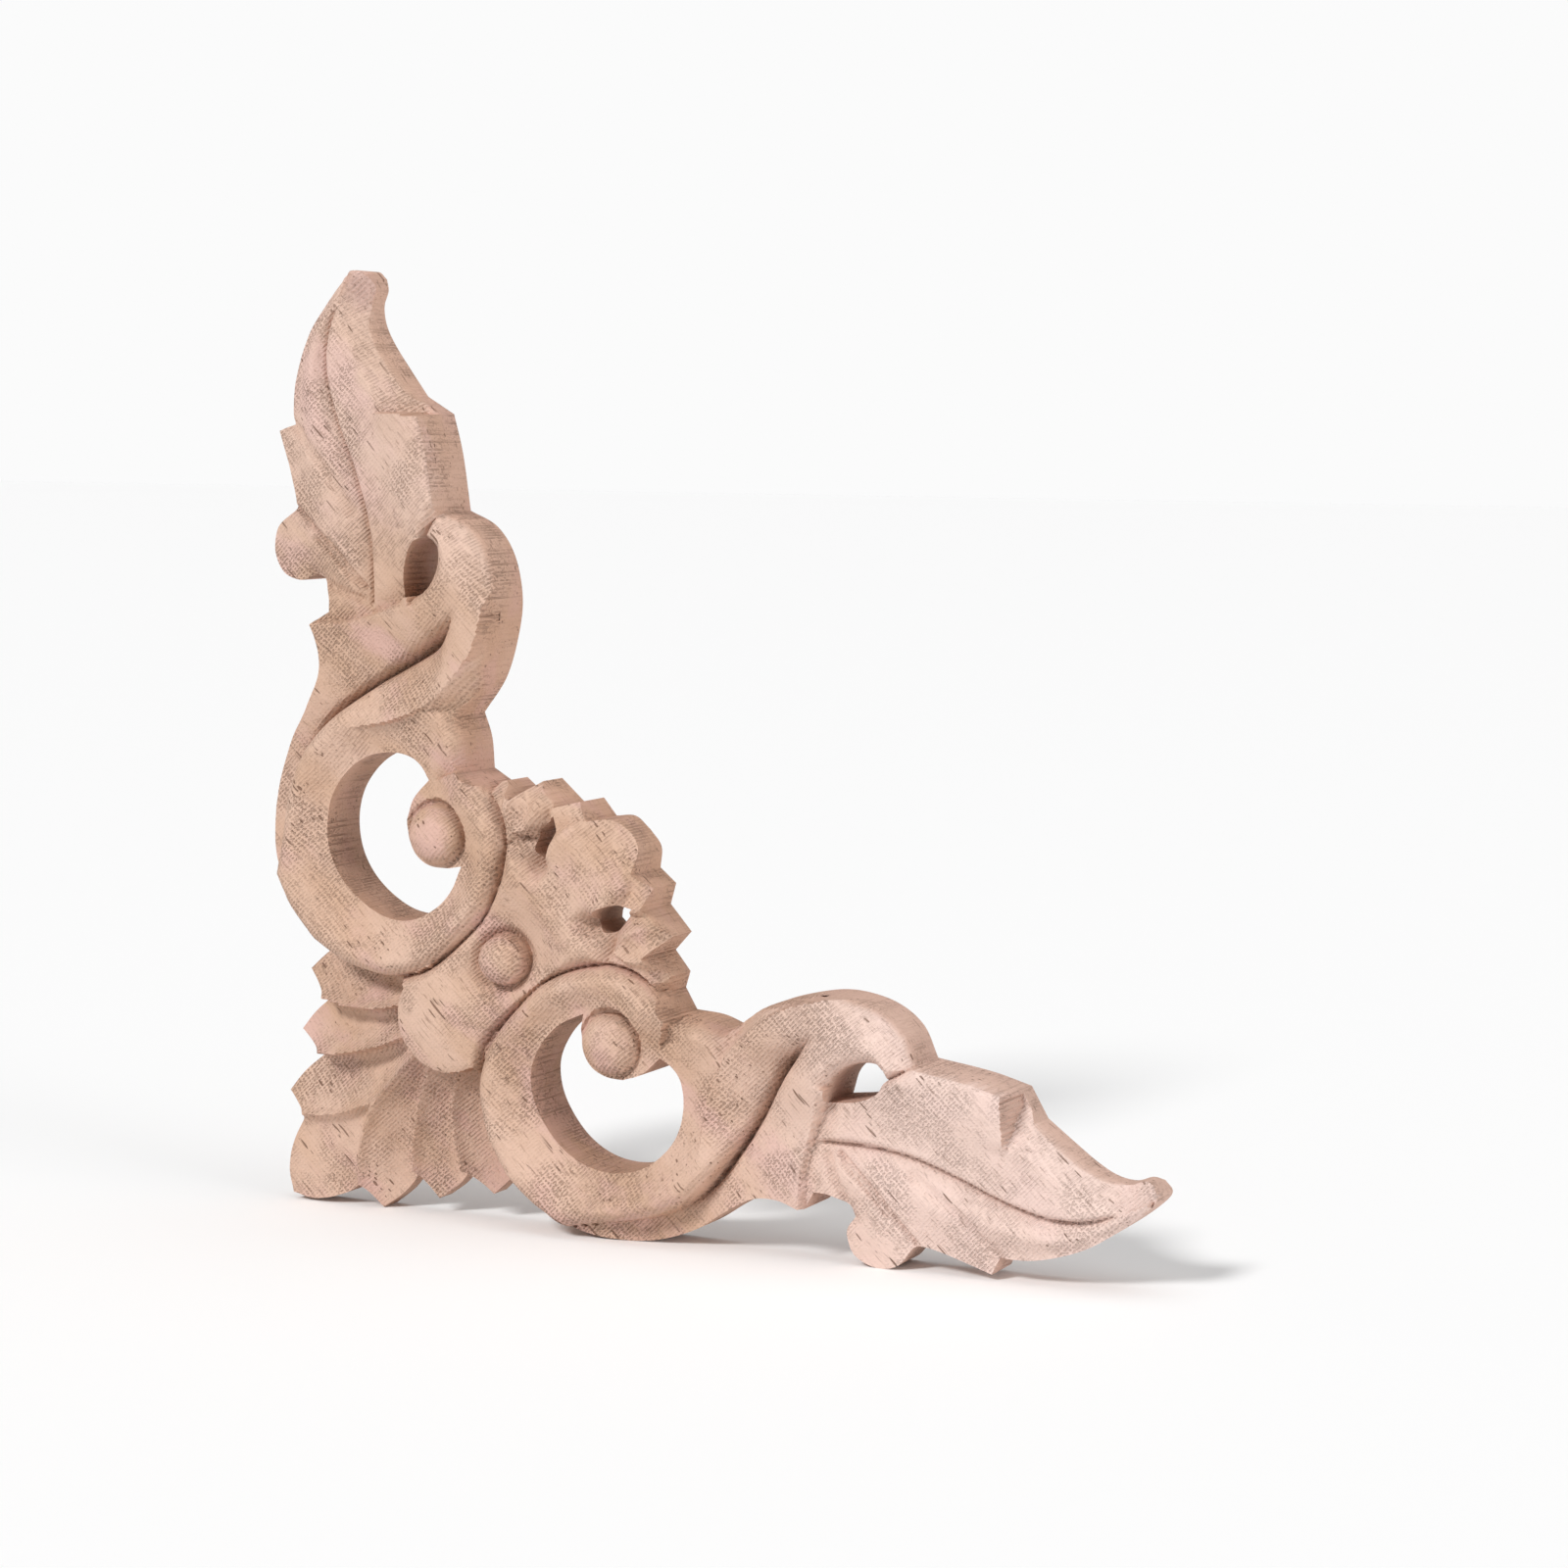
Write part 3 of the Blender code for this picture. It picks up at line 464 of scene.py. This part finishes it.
# Base, tip, half width, depth of the hollow, depth under the spoon
PETALS = [
    ((30.0, 41.5), (28.6, 48.6), 1.4, 0.4, 0.6),
    ((31.0, 42.4), (32.7, 48.8), 1.7, 0.9, 0.3),
    ((37.0, 41.6), (37.8, 47.4), 2.2, 0.5, 1.1),
    ((34.2, 34.2), (44.4, 44.4), 4.3, 0.7, 0.0),
]
TEAR_LEAD = (33.7, 39.4)


def cluster(p):
    """A smooth stem that flares from the bead into hollowed petals, each lapping the next."""
    r = np.hypot(p[:, 0] - BEAD[0], p[:, 1] - BEAD[1])
    h = 6.0 + 2.0 * ease(r, 2.5, 9.5)
    h = np.where(r > STEM_REACH, np.maximum(h - 0.95 * (r - STEM_REACH), STEM_LOW), h)
    for base, tip, width, hollow, under in PETALS:
        base, tip = np.array(base), np.array(tip)
        length = math.dist(base, tip)
        axis = (tip - base) / length
        t = ((p - base) @ axis) / length
        aside = (p - base) @ np.array([-axis[1], axis[0]])
        half = width * np.clip(1 - np.abs(2 * np.clip(t, 0, 1) - 1) ** 2.2, 0.02, 1)
        top = PETAL_TOP - under
        rim = top - 0.7 * (1 - ease(t, 0.0, 0.35)) - (top - PETAL_TIP) * ease(t, 0.5, 1.05)
        bowl = hollow * np.clip(1 - (aside / half / 0.85) ** 2, 0, 1) * ease(t, 0.03, 0.3)
        steep = np.where(aside > 0, 1.7, 0.9)
        petal = rim + 0.25 * np.clip(aside / half, -1, 1) - bowl - steep * np.clip(np.abs(aside) - half, 0, 9)
        within = (t > 0) & (np.abs(aside) < half)
        h = np.where(within, petal, np.where(t > 0, np.maximum(h, petal), h))
    return h - 2.4 * np.exp(-(np.hypot(p[:, 0] - TEAR_LEAD[0], p[:, 1] - TEAR_LEAD[1]) / 1.3) ** 2)


def web(p):
    """The tongue that runs from the boss between the scrolls to the bead."""
    along = (p[:, 0] + p[:, 1]) / 2
    across = (p[:, 1] - p[:, 0]) / math.sqrt(2)
    on_tongue = (along > BOSS[0] - 1) & (along < 31) & (across < 8)
    return np.where(on_tongue, 7.6 - 0.25 * np.clip(along - 25, 0, 6), 0)


print("spoon height", cluster(np.array([(38.0, 38.0)])).round(2))

# %% [markdown]
# ### All of it together
# Each form holds in its own field, and where two meet the lower one gives way, as a carver cuts one form back to
# free the other. The boss, the bead and the eye are domes set on top, each with a narrow moat cut round it.

# %% The whole face
EYE, EYE_R = (21.4, 41.8), 3.15
EYE_TOP, EYE_FOOT, MOAT, MOAT_WIDTH = 8.9, 6.2, 6.2, 1.2
CURL_FOOT_RUN = [(20.3, 72.6), ARMPIT]


def height(points):
    """Height of the carved face over the back."""
    p = np.asarray(points, float)
    p = np.stack([p.min(axis=1), p.max(axis=1)], axis=1)
    u, v = p[:, 0], p[:, 1]
    rim = np.vstack([smooth(GROOVE_RUN, SAMPLE), [(-1, 36), (-1, 29)], smooth(SCROLL_FOOT_RUN, SAMPLE)])
    far = np.array([(24.6, 48.4), (25.6, 52.0), (30.0, 57.0), (34.0, 64.0), (34.0, 73.4)])
    in_band = inside(p, np.vstack([rim, far]))
    leaf_line = [(-5, 63.3)] + LEAF_FOOT_RUN + [(19.2, 68.4), (20.6, 73.0), ARMPIT, (40, 75.6)]
    above = v > np.interp(u, [a for a, _ in leaf_line], [b for _, b in leaf_line])
    h = np.where((u > 29) | (u + v > 60) | (v > 30), cluster(p), fan(p))
    h = np.where(~in_band & (u < 29) & (v > 29.6) & (v > 30 + (u - 8) * 1.5), curl(p), h)
    h = np.where(in_band, band(p), h)
    h = np.where(above, leaf(p), np.where(v > 55, np.minimum(h, curl_edge(p)), h))
    d_foot = np.minimum(to(p, LEAF_FOOT_RUN), to(p, CURL_FOOT_RUN))
    h = np.where(in_band & ~above, h, np.minimum(h, LEAF_FOOT + 2.6 * rolled(d_foot, 2.6)))
    h = np.maximum(h, np.where(in_band, 0, web(p)))
    h = np.maximum(h, dome(p, BOSS, BOSS_R, BOSS_FOOT, BOSS_TOP))
    r_bead = np.hypot(u - BEAD[0], v - BEAD[1]) - BEAD_R
    h = np.where(in_band, h, h - 1.1 * np.exp(-(r_bead / 0.7) ** 2))
    valley = BAND_FOOT + 3.2 * rolled(to(p, SCROLL_FOOT_RUN), 2.6)
    h = np.where(in_band | above | (v > 48.5), h, np.minimum(h, valley))
    h = np.maximum(h, np.where(in_band, 0, dome(p, BEAD, BEAD_R, BEAD_FOOT, BEAD_TOP)))
    fade = ease(u, 4.0, 9.0) * (1 - ease(u, 20.0, 25.0))
    h = h - 1.3 * np.exp(-(to(p, GROOVE_RUN) / 0.45) ** 2) * np.where(v > 45, fade, 0)
    r_eye = np.hypot(u - EYE[0], v - EYE[1]) - EYE_R
    moat = MOAT + 2.6 * ease(r_eye, 0.35, MOAT_WIDTH)
    h = np.where(r_eye < MOAT_WIDTH, np.minimum(h, moat), h)
    return np.maximum(h, dome(p, EYE, EYE_R, EYE_FOOT, EYE_TOP))


print("face height at boss, bead and eye", height(np.array([BOSS, BEAD, EYE])).round(2))

# %% [markdown]
# ## The board
# A carver saws the outline first, drills the openings, and only then carves. The mesh follows: a flat sheet of
# small triangles is cut to the outline, its rim is drawn back to give the board its edge, and the back is filled.
# A grid of squares would leave steps along the curved outline, and a Boolean cut would leave long thin faces, so
# the points are laid out on a staggered grid and a constrained triangulation fits them to the rim.

# %% Lay out points inside the outline
FINE = 0.26             # spacing of the sheet's points
RIM_STEP = 0.32         # spacing of points along the outline and the openings
RIM_CLEAR = 0.55        # no grid point comes nearer to the rim than this share of FINE
ROW_SHARE = 0.866       # from row to row, as a share of FINE, for nearly equal-sided triangles
GRID_START = 0.5        # the first row and the first point of a row
SQUARE = 2.0            # side of the squares in which the rim's points are looked up


def staggered_grid(loops, spacing):
    """Points in staggered rows over the sheet, without those beside the rim."""
    rows = []
    top = loops[0].max()
    for k, v in enumerate(np.arange(GRID_START, top, spacing * ROW_SHARE)):
        u = np.arange(GRID_START + (k % 2) * spacing / 2, top, spacing)
        rows.append(np.stack([u, np.full(len(u), v)], axis=1))
    grid = np.vstack(rows)
    grid = grid[inside(grid, loops[0])]
    for loop in loops[1:]:
        grid = grid[~inside(grid, loop)]
    rim = np.vstack(loops)
    keys = {}
    for k, (a, b) in enumerate(np.floor(rim / SQUARE).astype(int)):
        keys.setdefault((a, b), []).append(k)
    keep = np.ones(len(grid), bool)
    for k, (a, b) in enumerate(np.floor(grid / SQUARE).astype(int)):
        near = [i for da in (-1, 0, 1) for db in (-1, 0, 1) for i in keys.get((a + da, b + db), ())]
        if near and np.hypot(*(rim[near] - grid[k]).T).min() < RIM_CLEAR * spacing:
            keep[k] = False
    return grid[keep]


loops = [outline(RIM_STEP)] + openings(RIM_STEP)
sheet_points = np.vstack(loops + [staggered_grid(loops, FINE)])
print("sheet", len(sheet_points), "points")

# %% Cut the sheet out
rim_edges = []
start = 0
for loop in loops:
    rim_edges += [(start + k, start + (k + 1) % len(loop)) for k in range(len(loop))]
    start += len(loop)
ENCLOSED = 1            # keep only the triangles within the loops
WELD = 1e-6             # points nearer than this become one
cut_out = delaunay_2d_cdt([tuple(q) for q in sheet_points], rim_edges, [], ENCLOSED, WELD)
sheet_points = np.array([tuple(q) for q in cut_out[0]])
triangles = np.array([face for face in cut_out[2] if len(face) == 3])
centres = sheet_points[triangles].mean(axis=1)
keep = np.ones(len(triangles), bool)
for loop in loops[1:]:
    keep &= ~inside(centres, loop)
triangles = triangles[keep]
print("sheet", len(triangles), "triangles")

# %% [markdown]
# The carved height is not perfectly even: a cutter wanders and the grain pulls it. A little smooth noise is added
# to the height, so that highlights on the round forms waver as they do on real wood.

# %% The cutter's wander
WANDER = ((2.6, 0.10), (1.1, 0.045), (0.5, 0.02))    # wavelength and depth


def wander(points):
    """A small uneven depth for each point, made of smooth noise at three sizes."""
    depth = np.zeros(len(points))
    for size, amount in WANDER:
        depth += amount * np.array([noise.noise((a / size, b / size, size * 7)) for a, b in points])
    return depth


face_height = np.minimum(height(sheet_points) + wander(sheet_points), BOARD_THICK)
print("height", round(face_height.min(), 2), "to", round(face_height.max(), 2))

# %% Make the sheet a board
u_low, v_low = loops[0].min(axis=0)


def place(points, up):
    """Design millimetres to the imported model's metres."""
    x = board_low[0] + (points[:, 0] - u_low) * MM
    z = board_low[2] + (points[:, 1] - v_low) * MM
    return np.stack([x, board_high[1] - up * MM, z], axis=1)


flat = place(sheet_points, np.full(len(sheet_points), BOARD_THICK))
mesh = bpy.data.meshes.new("carved_onlay")
mesh.from_pydata(flat.tolist(), [], triangles.tolist())
onlay = bpy.data.objects.new("carved_onlay", mesh)
bpy.context.collection.objects.link(onlay)
bpy.ops.object.select_all(action="DESELECT")
bpy.context.view_layer.objects.active = onlay
onlay.select_set(True)
bpy.ops.object.mode_set(mode="EDIT")
bpy.ops.mesh.select_mode(type="EDGE")
bpy.ops.mesh.select_all(action="DESELECT")
bpy.ops.mesh.select_non_manifold(extend=False)
bpy.ops.mesh.extrude_edges_move(TRANSFORM_OT_translate={"value": (0, BOARD_THICK * MM, 0)})
bpy.ops.mesh.fill(use_beauty=True)
bpy.ops.object.mode_set(mode="OBJECT")
print("blank", len(mesh.vertices), "points")

# %% Carve it
CREASE_ANGLE = 42       # degrees between faces from which an edge looks sharp
where = np.empty(len(mesh.vertices) * 3)
mesh.vertices.foreach_get("co", where)
where = where.reshape(-1, 3)
where[:len(sheet_points)] = place(sheet_points, face_height)
mesh.vertices.foreach_set("co", where.ravel())
mesh.update()
bpy.ops.object.mode_set(mode="EDIT")
bpy.ops.mesh.select_all(action="SELECT")
bpy.ops.mesh.quads_convert_to_tris()
bpy.ops.mesh.normals_make_consistent(inside=False)
bpy.ops.object.mode_set(mode="OBJECT")
bpy.ops.object.shade_smooth_by_angle(angle=math.radians(CREASE_ANGLE))
print("board", len(mesh.polygons), "triangles")

# %% [markdown]
# ## The wood
# The onlay is bare rubberwood: pale tan with pink and grey clouds, and short dark pores that all run one way, from
# upper left to lower right. The cutter went across them in fine passes about a third of a millimetre apart, which
# show as hatching on the slopes. A saw-like ripple runs from front to back on the edges. All of it is worked out
# from Object coordinates, so that no picture is needed and nothing slides when the piece is seen from elsewhere.

# %% Node helpers
wood = bpy.data.materials.new("pale_rubberwood")
wood.use_nodes = True
nodes, links = wood.node_tree.nodes, wood.node_tree.links
shader = nodes["Principled BSDF"]


def node(kind, inputs=None, **settings):
    """A node with its settings, and its inputs given as values or as sockets."""
    made = nodes.new(kind)
    for key, value in settings.items():
        setattr(made, key, value)
    for key, value in (inputs or {}).items():
        if isinstance(value, bpy.types.NodeSocket):
            links.new(value, made.inputs[key])
        else:
            made.inputs[key].default_value = value
    return made


def sums(operation, a, b=0.0, c=None):
    """One sum on numbers or sockets."""
    given = {0: a, 1: b} if c is None else {0: a, 1: b, 2: c}
    return node("ShaderNodeMath", given, operation=operation).outputs[0]


def between(value, low, high, to_low=0.0, to_high=1.0):
    """The value taken from one range to another, held at the ends."""
    given = {"Value": value, "From Min": low, "From Max": high, "To Min": to_low, "To Max": to_high}
    return node("ShaderNodeMapRange", given, interpolation_type="SMOOTHSTEP").outputs[0]


def tint(amount, first, second):
    """A colour between two colours."""
    mix = node("ShaderNodeMix", data_type="RGBA")
    for socket, value in zip((mix.inputs["Factor"], mix.inputs[6], mix.inputs[7]), (amount, first, second)):
        if isinstance(value, bpy.types.NodeSocket):
            links.new(value, socket)
        else:
            socket.default_value = value
    return mix.outputs[2]


print("wood begins with", len(nodes), "nodes")

# %% Directions in the wood
place_in_wood = node("ShaderNodeTexCoord")
GRAIN_TURN = (0, math.radians(-45), 0)
grain = node("ShaderNodeMapping", {"Vector": place_in_wood.outputs["Object"], "Rotation": GRAIN_TURN})
facing = node("ShaderNodeSeparateXYZ", {"Vector": place_in_wood.outputs["Normal"]}).outputs["Y"]
flatness = sums("ABSOLUTE", facing)
slope = between(flatness, 0.98, 0.72)
edge_wall = between(flatness, 0.45, 0.15)


def stretched(along, across):
    """Coordinates with so many steps to a metre along the grain and across it."""
    return node("ShaderNodeMapping", {"Vector": grain.outputs[0], "Scale": (along, across, across)}).outputs[0]


print("directions", len(nodes), "nodes so far")

# %% [markdown]
# Pale and tan clouds are drawn out along the grain, with pink ones over them. Both leaves are painted paler, most
# of all the lower one, as painted light where the light falls brighter. Cut walls are painted darker and redder as
# painted shade.

# %% Colour
PALE = (0.640, 0.440, 0.340, 1)
# The palest colour below is painted light. It stands in for brighter light on the leaves.
PAINTED_LIGHT_PALE = (0.790, 0.610, 0.550, 1)
TAN = (0.560, 0.365, 0.257, 1)
PINK = (0.640, 0.410, 0.350, 1)
# The wall colour is painted shade: darker, redder walls stand in for shade in the openings.
WALL_PAINTED_SHADE = (0.480, 0.260, 0.170, 1)
TORN = (0.300, 0.175, 0.120, 1)
PORE = (0.180, 0.095, 0.060, 1)
PAINTED_LIGHT_SHARE, WALL_SHADE_SHARE, PORE_SHARE, HATCH_SHARE, TEAR_SHARE = 0.8, 0.5, 0.85, 0.36, 0.65
cloud = node("ShaderNodeTexNoise", {"Vector": stretched(40, 130), "Scale": 1.0, "Detail": 4.0}).outputs[0]
blush = node("ShaderNodeTexNoise", {"Vector": stretched(90, 200), "Scale": 1.0, "Detail": 3.0}).outputs[0]
colour = tint(between(cloud, 0.35, 0.65), PALE, TAN)
colour = tint(between(blush, 0.48, 0.68, 0.0, 0.85), colour, PINK)
across_board = node("ShaderNodeSeparateXYZ", {"Vector": place_in_wood.outputs["Object"]}).outputs
# Painted light: the lower leaf, and a little of the upper one, are painted paler where the light falls brighter.
lower_leaf_painted_light = between(across_board["X"], 0.026, 0.056)
upper_leaf_painted_light = between(across_board["Z"], 0.040, 0.056, 0.0, 0.35)
painted_light_smooth_end = sums("MAXIMUM", lower_leaf_painted_light, upper_leaf_painted_light)
colour = tint(sums("MULTIPLY", painted_light_smooth_end, PAINTED_LIGHT_SHARE), colour, PAINTED_LIGHT_PALE)
# Painted shade: the cut walls are tinted darker and redder, as shade in the openings.
colour = tint(sums("MULTIPLY", edge_wall, WALL_SHADE_SHARE), colour, WALL_PAINTED_SHADE)
print("colour", len(nodes), "nodes so far")

# %% [markdown]
# The pores are cut vessels of the wood: short dark dashes along the grain, in groups, between much finer ones.

# %% Pores
pores = node("ShaderNodeTexVoronoi", {"Vector": stretched(210, 2700), "Scale": 1.0, "Randomness": 1.0})
pore_length = sums("MULTIPLY", sums("POWER", pores.outputs["Color"], 2.5), 0.42)
pore_group = node("ShaderNodeTexNoise", {"Vector": stretched(110, 420), "Scale": 1.0, "Detail": 2.0}).outputs[0]
pore = sums("MULTIPLY", between(sums("SUBTRACT", pores.outputs["Distance"], pore_length), 0.05, -0.03),
            between(pore_group, 0.44, 0.60, 0.15, 1.0))
fine_pores = node("ShaderNodeTexNoise", {"Vector": stretched(420, 5200), "Scale": 1.0, "Detail": 2.0}).outputs[0]
fine_pore = between(fine_pores, 0.58, 0.75, 0.0, 0.5)
colour = tint(sums("MAXIMUM", sums("MULTIPLY", pore, PORE_SHARE), fine_pore), colour, PORE)
print("pores", len(nodes), "nodes so far")

# %% [markdown]
# The cutter leaves two sets of marks. Its passes run across the grain and its teeth tear the fibres along it, and
# where both cross there are small woven ticks. They show on slopes and in patches, and they are gone where the
# gouge or the sandpaper went last.

# %% Cutter's hatching
HATCH = 0.35 * MM       # from one pass to the next
WAVE = math.pi / 10     # a wave texture of this scale has one band to a metre
hatch = node("ShaderNodeTexWave", {"Vector": grain.outputs[0], "Scale": WAVE / HATCH, "Distortion": 1.6,
                                   "Detail": 2.0, "Detail Scale": 1.4}, bands_direction="X").outputs[1]
patch = node("ShaderNodeTexNoise", {"Vector": grain.outputs[0], "Scale": 110.0, "Detail": 2.0}).outputs[0]
grit = node("ShaderNodeTexNoise", {"Vector": grain.outputs[0], "Scale": 1300.0, "Detail": 2.0}).outputs[0]
hatched = sums("MAXIMUM", sums("MULTIPLY", slope, 0.7), between(patch, 0.46, 0.66))
hatched = sums("MULTIPLY", hatched, sums("SUBTRACT", 1.0, edge_wall))
hatched = sums("MULTIPLY", hatched, between(grit, 0.36, 0.60, 0.15, 1.0))
valley = sums("MULTIPLY", sums("SUBTRACT", 1.0, hatch), hatched)
# Where the leaves are painted paler as painted light, the cutter's marks are also made fainter.
rough = between(painted_light_smooth_end, 0.0, 1.0, 1.0, 0.4)
colour = tint(sums("MULTIPLY", sums("MULTIPLY", valley, rough), HATCH_SHARE), colour, TORN)
print("hatching", len(nodes), "nodes so far")

# %% Torn fibres
RASP = 0.50 * MM        # between the small tears across a pass
tear_place = stretched(5600, 2600)
tears = node("ShaderNodeTexNoise", {"Vector": tear_place, "Scale": 1.0, "Detail": 2.0}).outputs[0]
rasp = node("ShaderNodeTexWave", {"Vector": grain.outputs[0], "Scale": WAVE / RASP, "Distortion": 2.5,
                                  "Detail": 2.0, "Detail Scale": 2.0}, bands_direction="Z").outputs[1]
tick = sums("MULTIPLY", sums("SUBTRACT", 1.0, hatch), sums("SUBTRACT", 1.0, rasp))
tear_patch = node("ShaderNodeTexNoise", {"Vector": grain.outputs[0], "Scale": 190.0, "Detail": 3.0}).outputs[0]
tear = sums("MAXIMUM", between(tears, 0.52, 0.70, 0.0, 0.8), between(tick, 0.35, 0.75))
tear = sums("MULTIPLY", tear, between(tear_patch, 0.42, 0.66, 0.15, 1.0))
colour = tint(sums("MULTIPLY", sums("MULTIPLY", tear, rough), TEAR_SHARE), colour, TORN)
links.new(colour, shader.inputs["Base Color"])
print("torn fibres", len(nodes), "nodes so far")

# %% [markdown]
# The marks are so shallow that light alone shows them: a tenth of a millimetre of bump, with the passes raised,
# tears and pores sunk, and the saw's ripple on the walls, where it runs from front to back.

# %% Surface
BUMP_DEPTH = 0.10 * MM
TEAR_SUNK, WALL_RAISED, FUZZ_RAISED, PORE_SUNK = 1.4, 2.2, 0.8, 1.3     # shares of that depth
ROUGHNESS, SHEEN = 0.78, 0.3
wall_place = node("ShaderNodeMapping", {"Vector": place_in_wood.outputs["Object"], "Scale": (2600, 180, 2600)})
wall_mark = node("ShaderNodeTexNoise", {"Vector": wall_place.outputs[0], "Scale": 1.0, "Detail": 3.0}).outputs[0]
fuzz = node("ShaderNodeTexNoise", {"Vector": stretched(1500, 3500), "Scale": 1.0, "Detail": 4.0}).outputs[0]
marks = sums("MULTIPLY", hatch, hatched)
marks = sums("SUBTRACT", marks, sums("MULTIPLY", tear, TEAR_SUNK))
marks = sums("ADD", marks, sums("MULTIPLY", sums("MULTIPLY", wall_mark, edge_wall), WALL_RAISED))
marks = sums("ADD", marks, sums("MULTIPLY", fuzz, FUZZ_RAISED))
marks = sums("SUBTRACT", marks, sums("MULTIPLY", pore, PORE_SUNK))
bump = node("ShaderNodeBump", {"Height": marks, "Strength": 1.0, "Distance": BUMP_DEPTH})
links.new(bump.outputs[0], shader.inputs["Normal"])
shader.inputs["Roughness"].default_value = ROUGHNESS
shader.inputs["Specular IOR Level"].default_value = SHEEN
mesh.materials.clear()
mesh.materials.append(wood)
print("wood", len(nodes), "nodes")

# %% Give the board to the frame
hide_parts("corner_onlay")
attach(onlay, "root")
print("given to the frame:", onlay.name)

# %% [markdown]
# ## Floor and light
# The onlay was photographed on white, under soft light from the upper left. A soft key lamp there gives the
# shape, a fill lamp on the right keeps the walls readable, and a wide lamp above whitens the floor. The surround
# fills the rest. To the camera it is brighter than as a lamp, so that it is as white as the floor.

# %% Floor
FLOOR_SIZE = 8          # metres, so wide that its edge is never seen
FLOOR_WHITE, FLOOR_ROUGHNESS = 0.95, 0.9
bpy.ops.object.select_all(action="DESELECT")
bpy.ops.mesh.primitive_plane_add(size=FLOOR_SIZE, location=(0, 0, board_low[2]))
floor = bpy.context.object
floor.name = "floor"
floor_paint = bpy.data.materials.new("white_floor")
floor_paint.use_nodes = True
paint = floor_paint.node_tree.nodes["Principled BSDF"]
paint.inputs["Base Color"].default_value = (FLOOR_WHITE, FLOOR_WHITE, FLOOR_WHITE, 1)
paint.inputs["Roughness"].default_value = FLOOR_ROUGHNESS
floor.data.materials.append(floor_paint)
print("floor", floor.name)

# %% Lights
def sun(name, towards, watts, spread):
    """A far lamp that shines along a direction. Its spread in degrees softens the shadows."""
    data = bpy.data.lights.new(name, "SUN")
    data.energy = watts
    data.angle = math.radians(spread)
    light = bpy.data.objects.new(name, data)
    bpy.context.collection.objects.link(light)
    light.rotation_euler = Vector(towards).to_track_quat("-Z", "Y").to_euler()


sun("key", right * 0.80 - back * 0.85 - Vector((0, 0, 0.85)), 2.2, 14)
sun("fill", -right * 1.0 - back * 0.75 - Vector((0, 0, 0.15)), 1.40, 30)
sun("top", Vector((0, 0, -1)), 0.78, 60)
bpy.context.scene.view_settings.view_transform = "Standard"
print("lamps", len(bpy.data.lights))

# %% Surround
AMBIENT, BACKDROP = 0.28, 0.965         # as a lamp, and as the camera sees it
world = bpy.data.worlds.new("studio")
bpy.context.scene.world = world
world.use_nodes = True
surround = world.node_tree.nodes["Background"]
surround.inputs["Color"].default_value = (1, 1, 1, 1)
seen = world.node_tree.nodes.new("ShaderNodeLightPath")
glow = world.node_tree.nodes.new("ShaderNodeMath")
glow.operation = "MULTIPLY_ADD"
glow.inputs[1].default_value = BACKDROP - AMBIENT
glow.inputs[2].default_value = AMBIENT
world.node_tree.links.new(seen.outputs["Is Camera Ray"], glow.inputs[0])
world.node_tree.links.new(glow.outputs[0], surround.inputs["Strength"])
print("surround", world.name)

# %% Finish
print("finished")
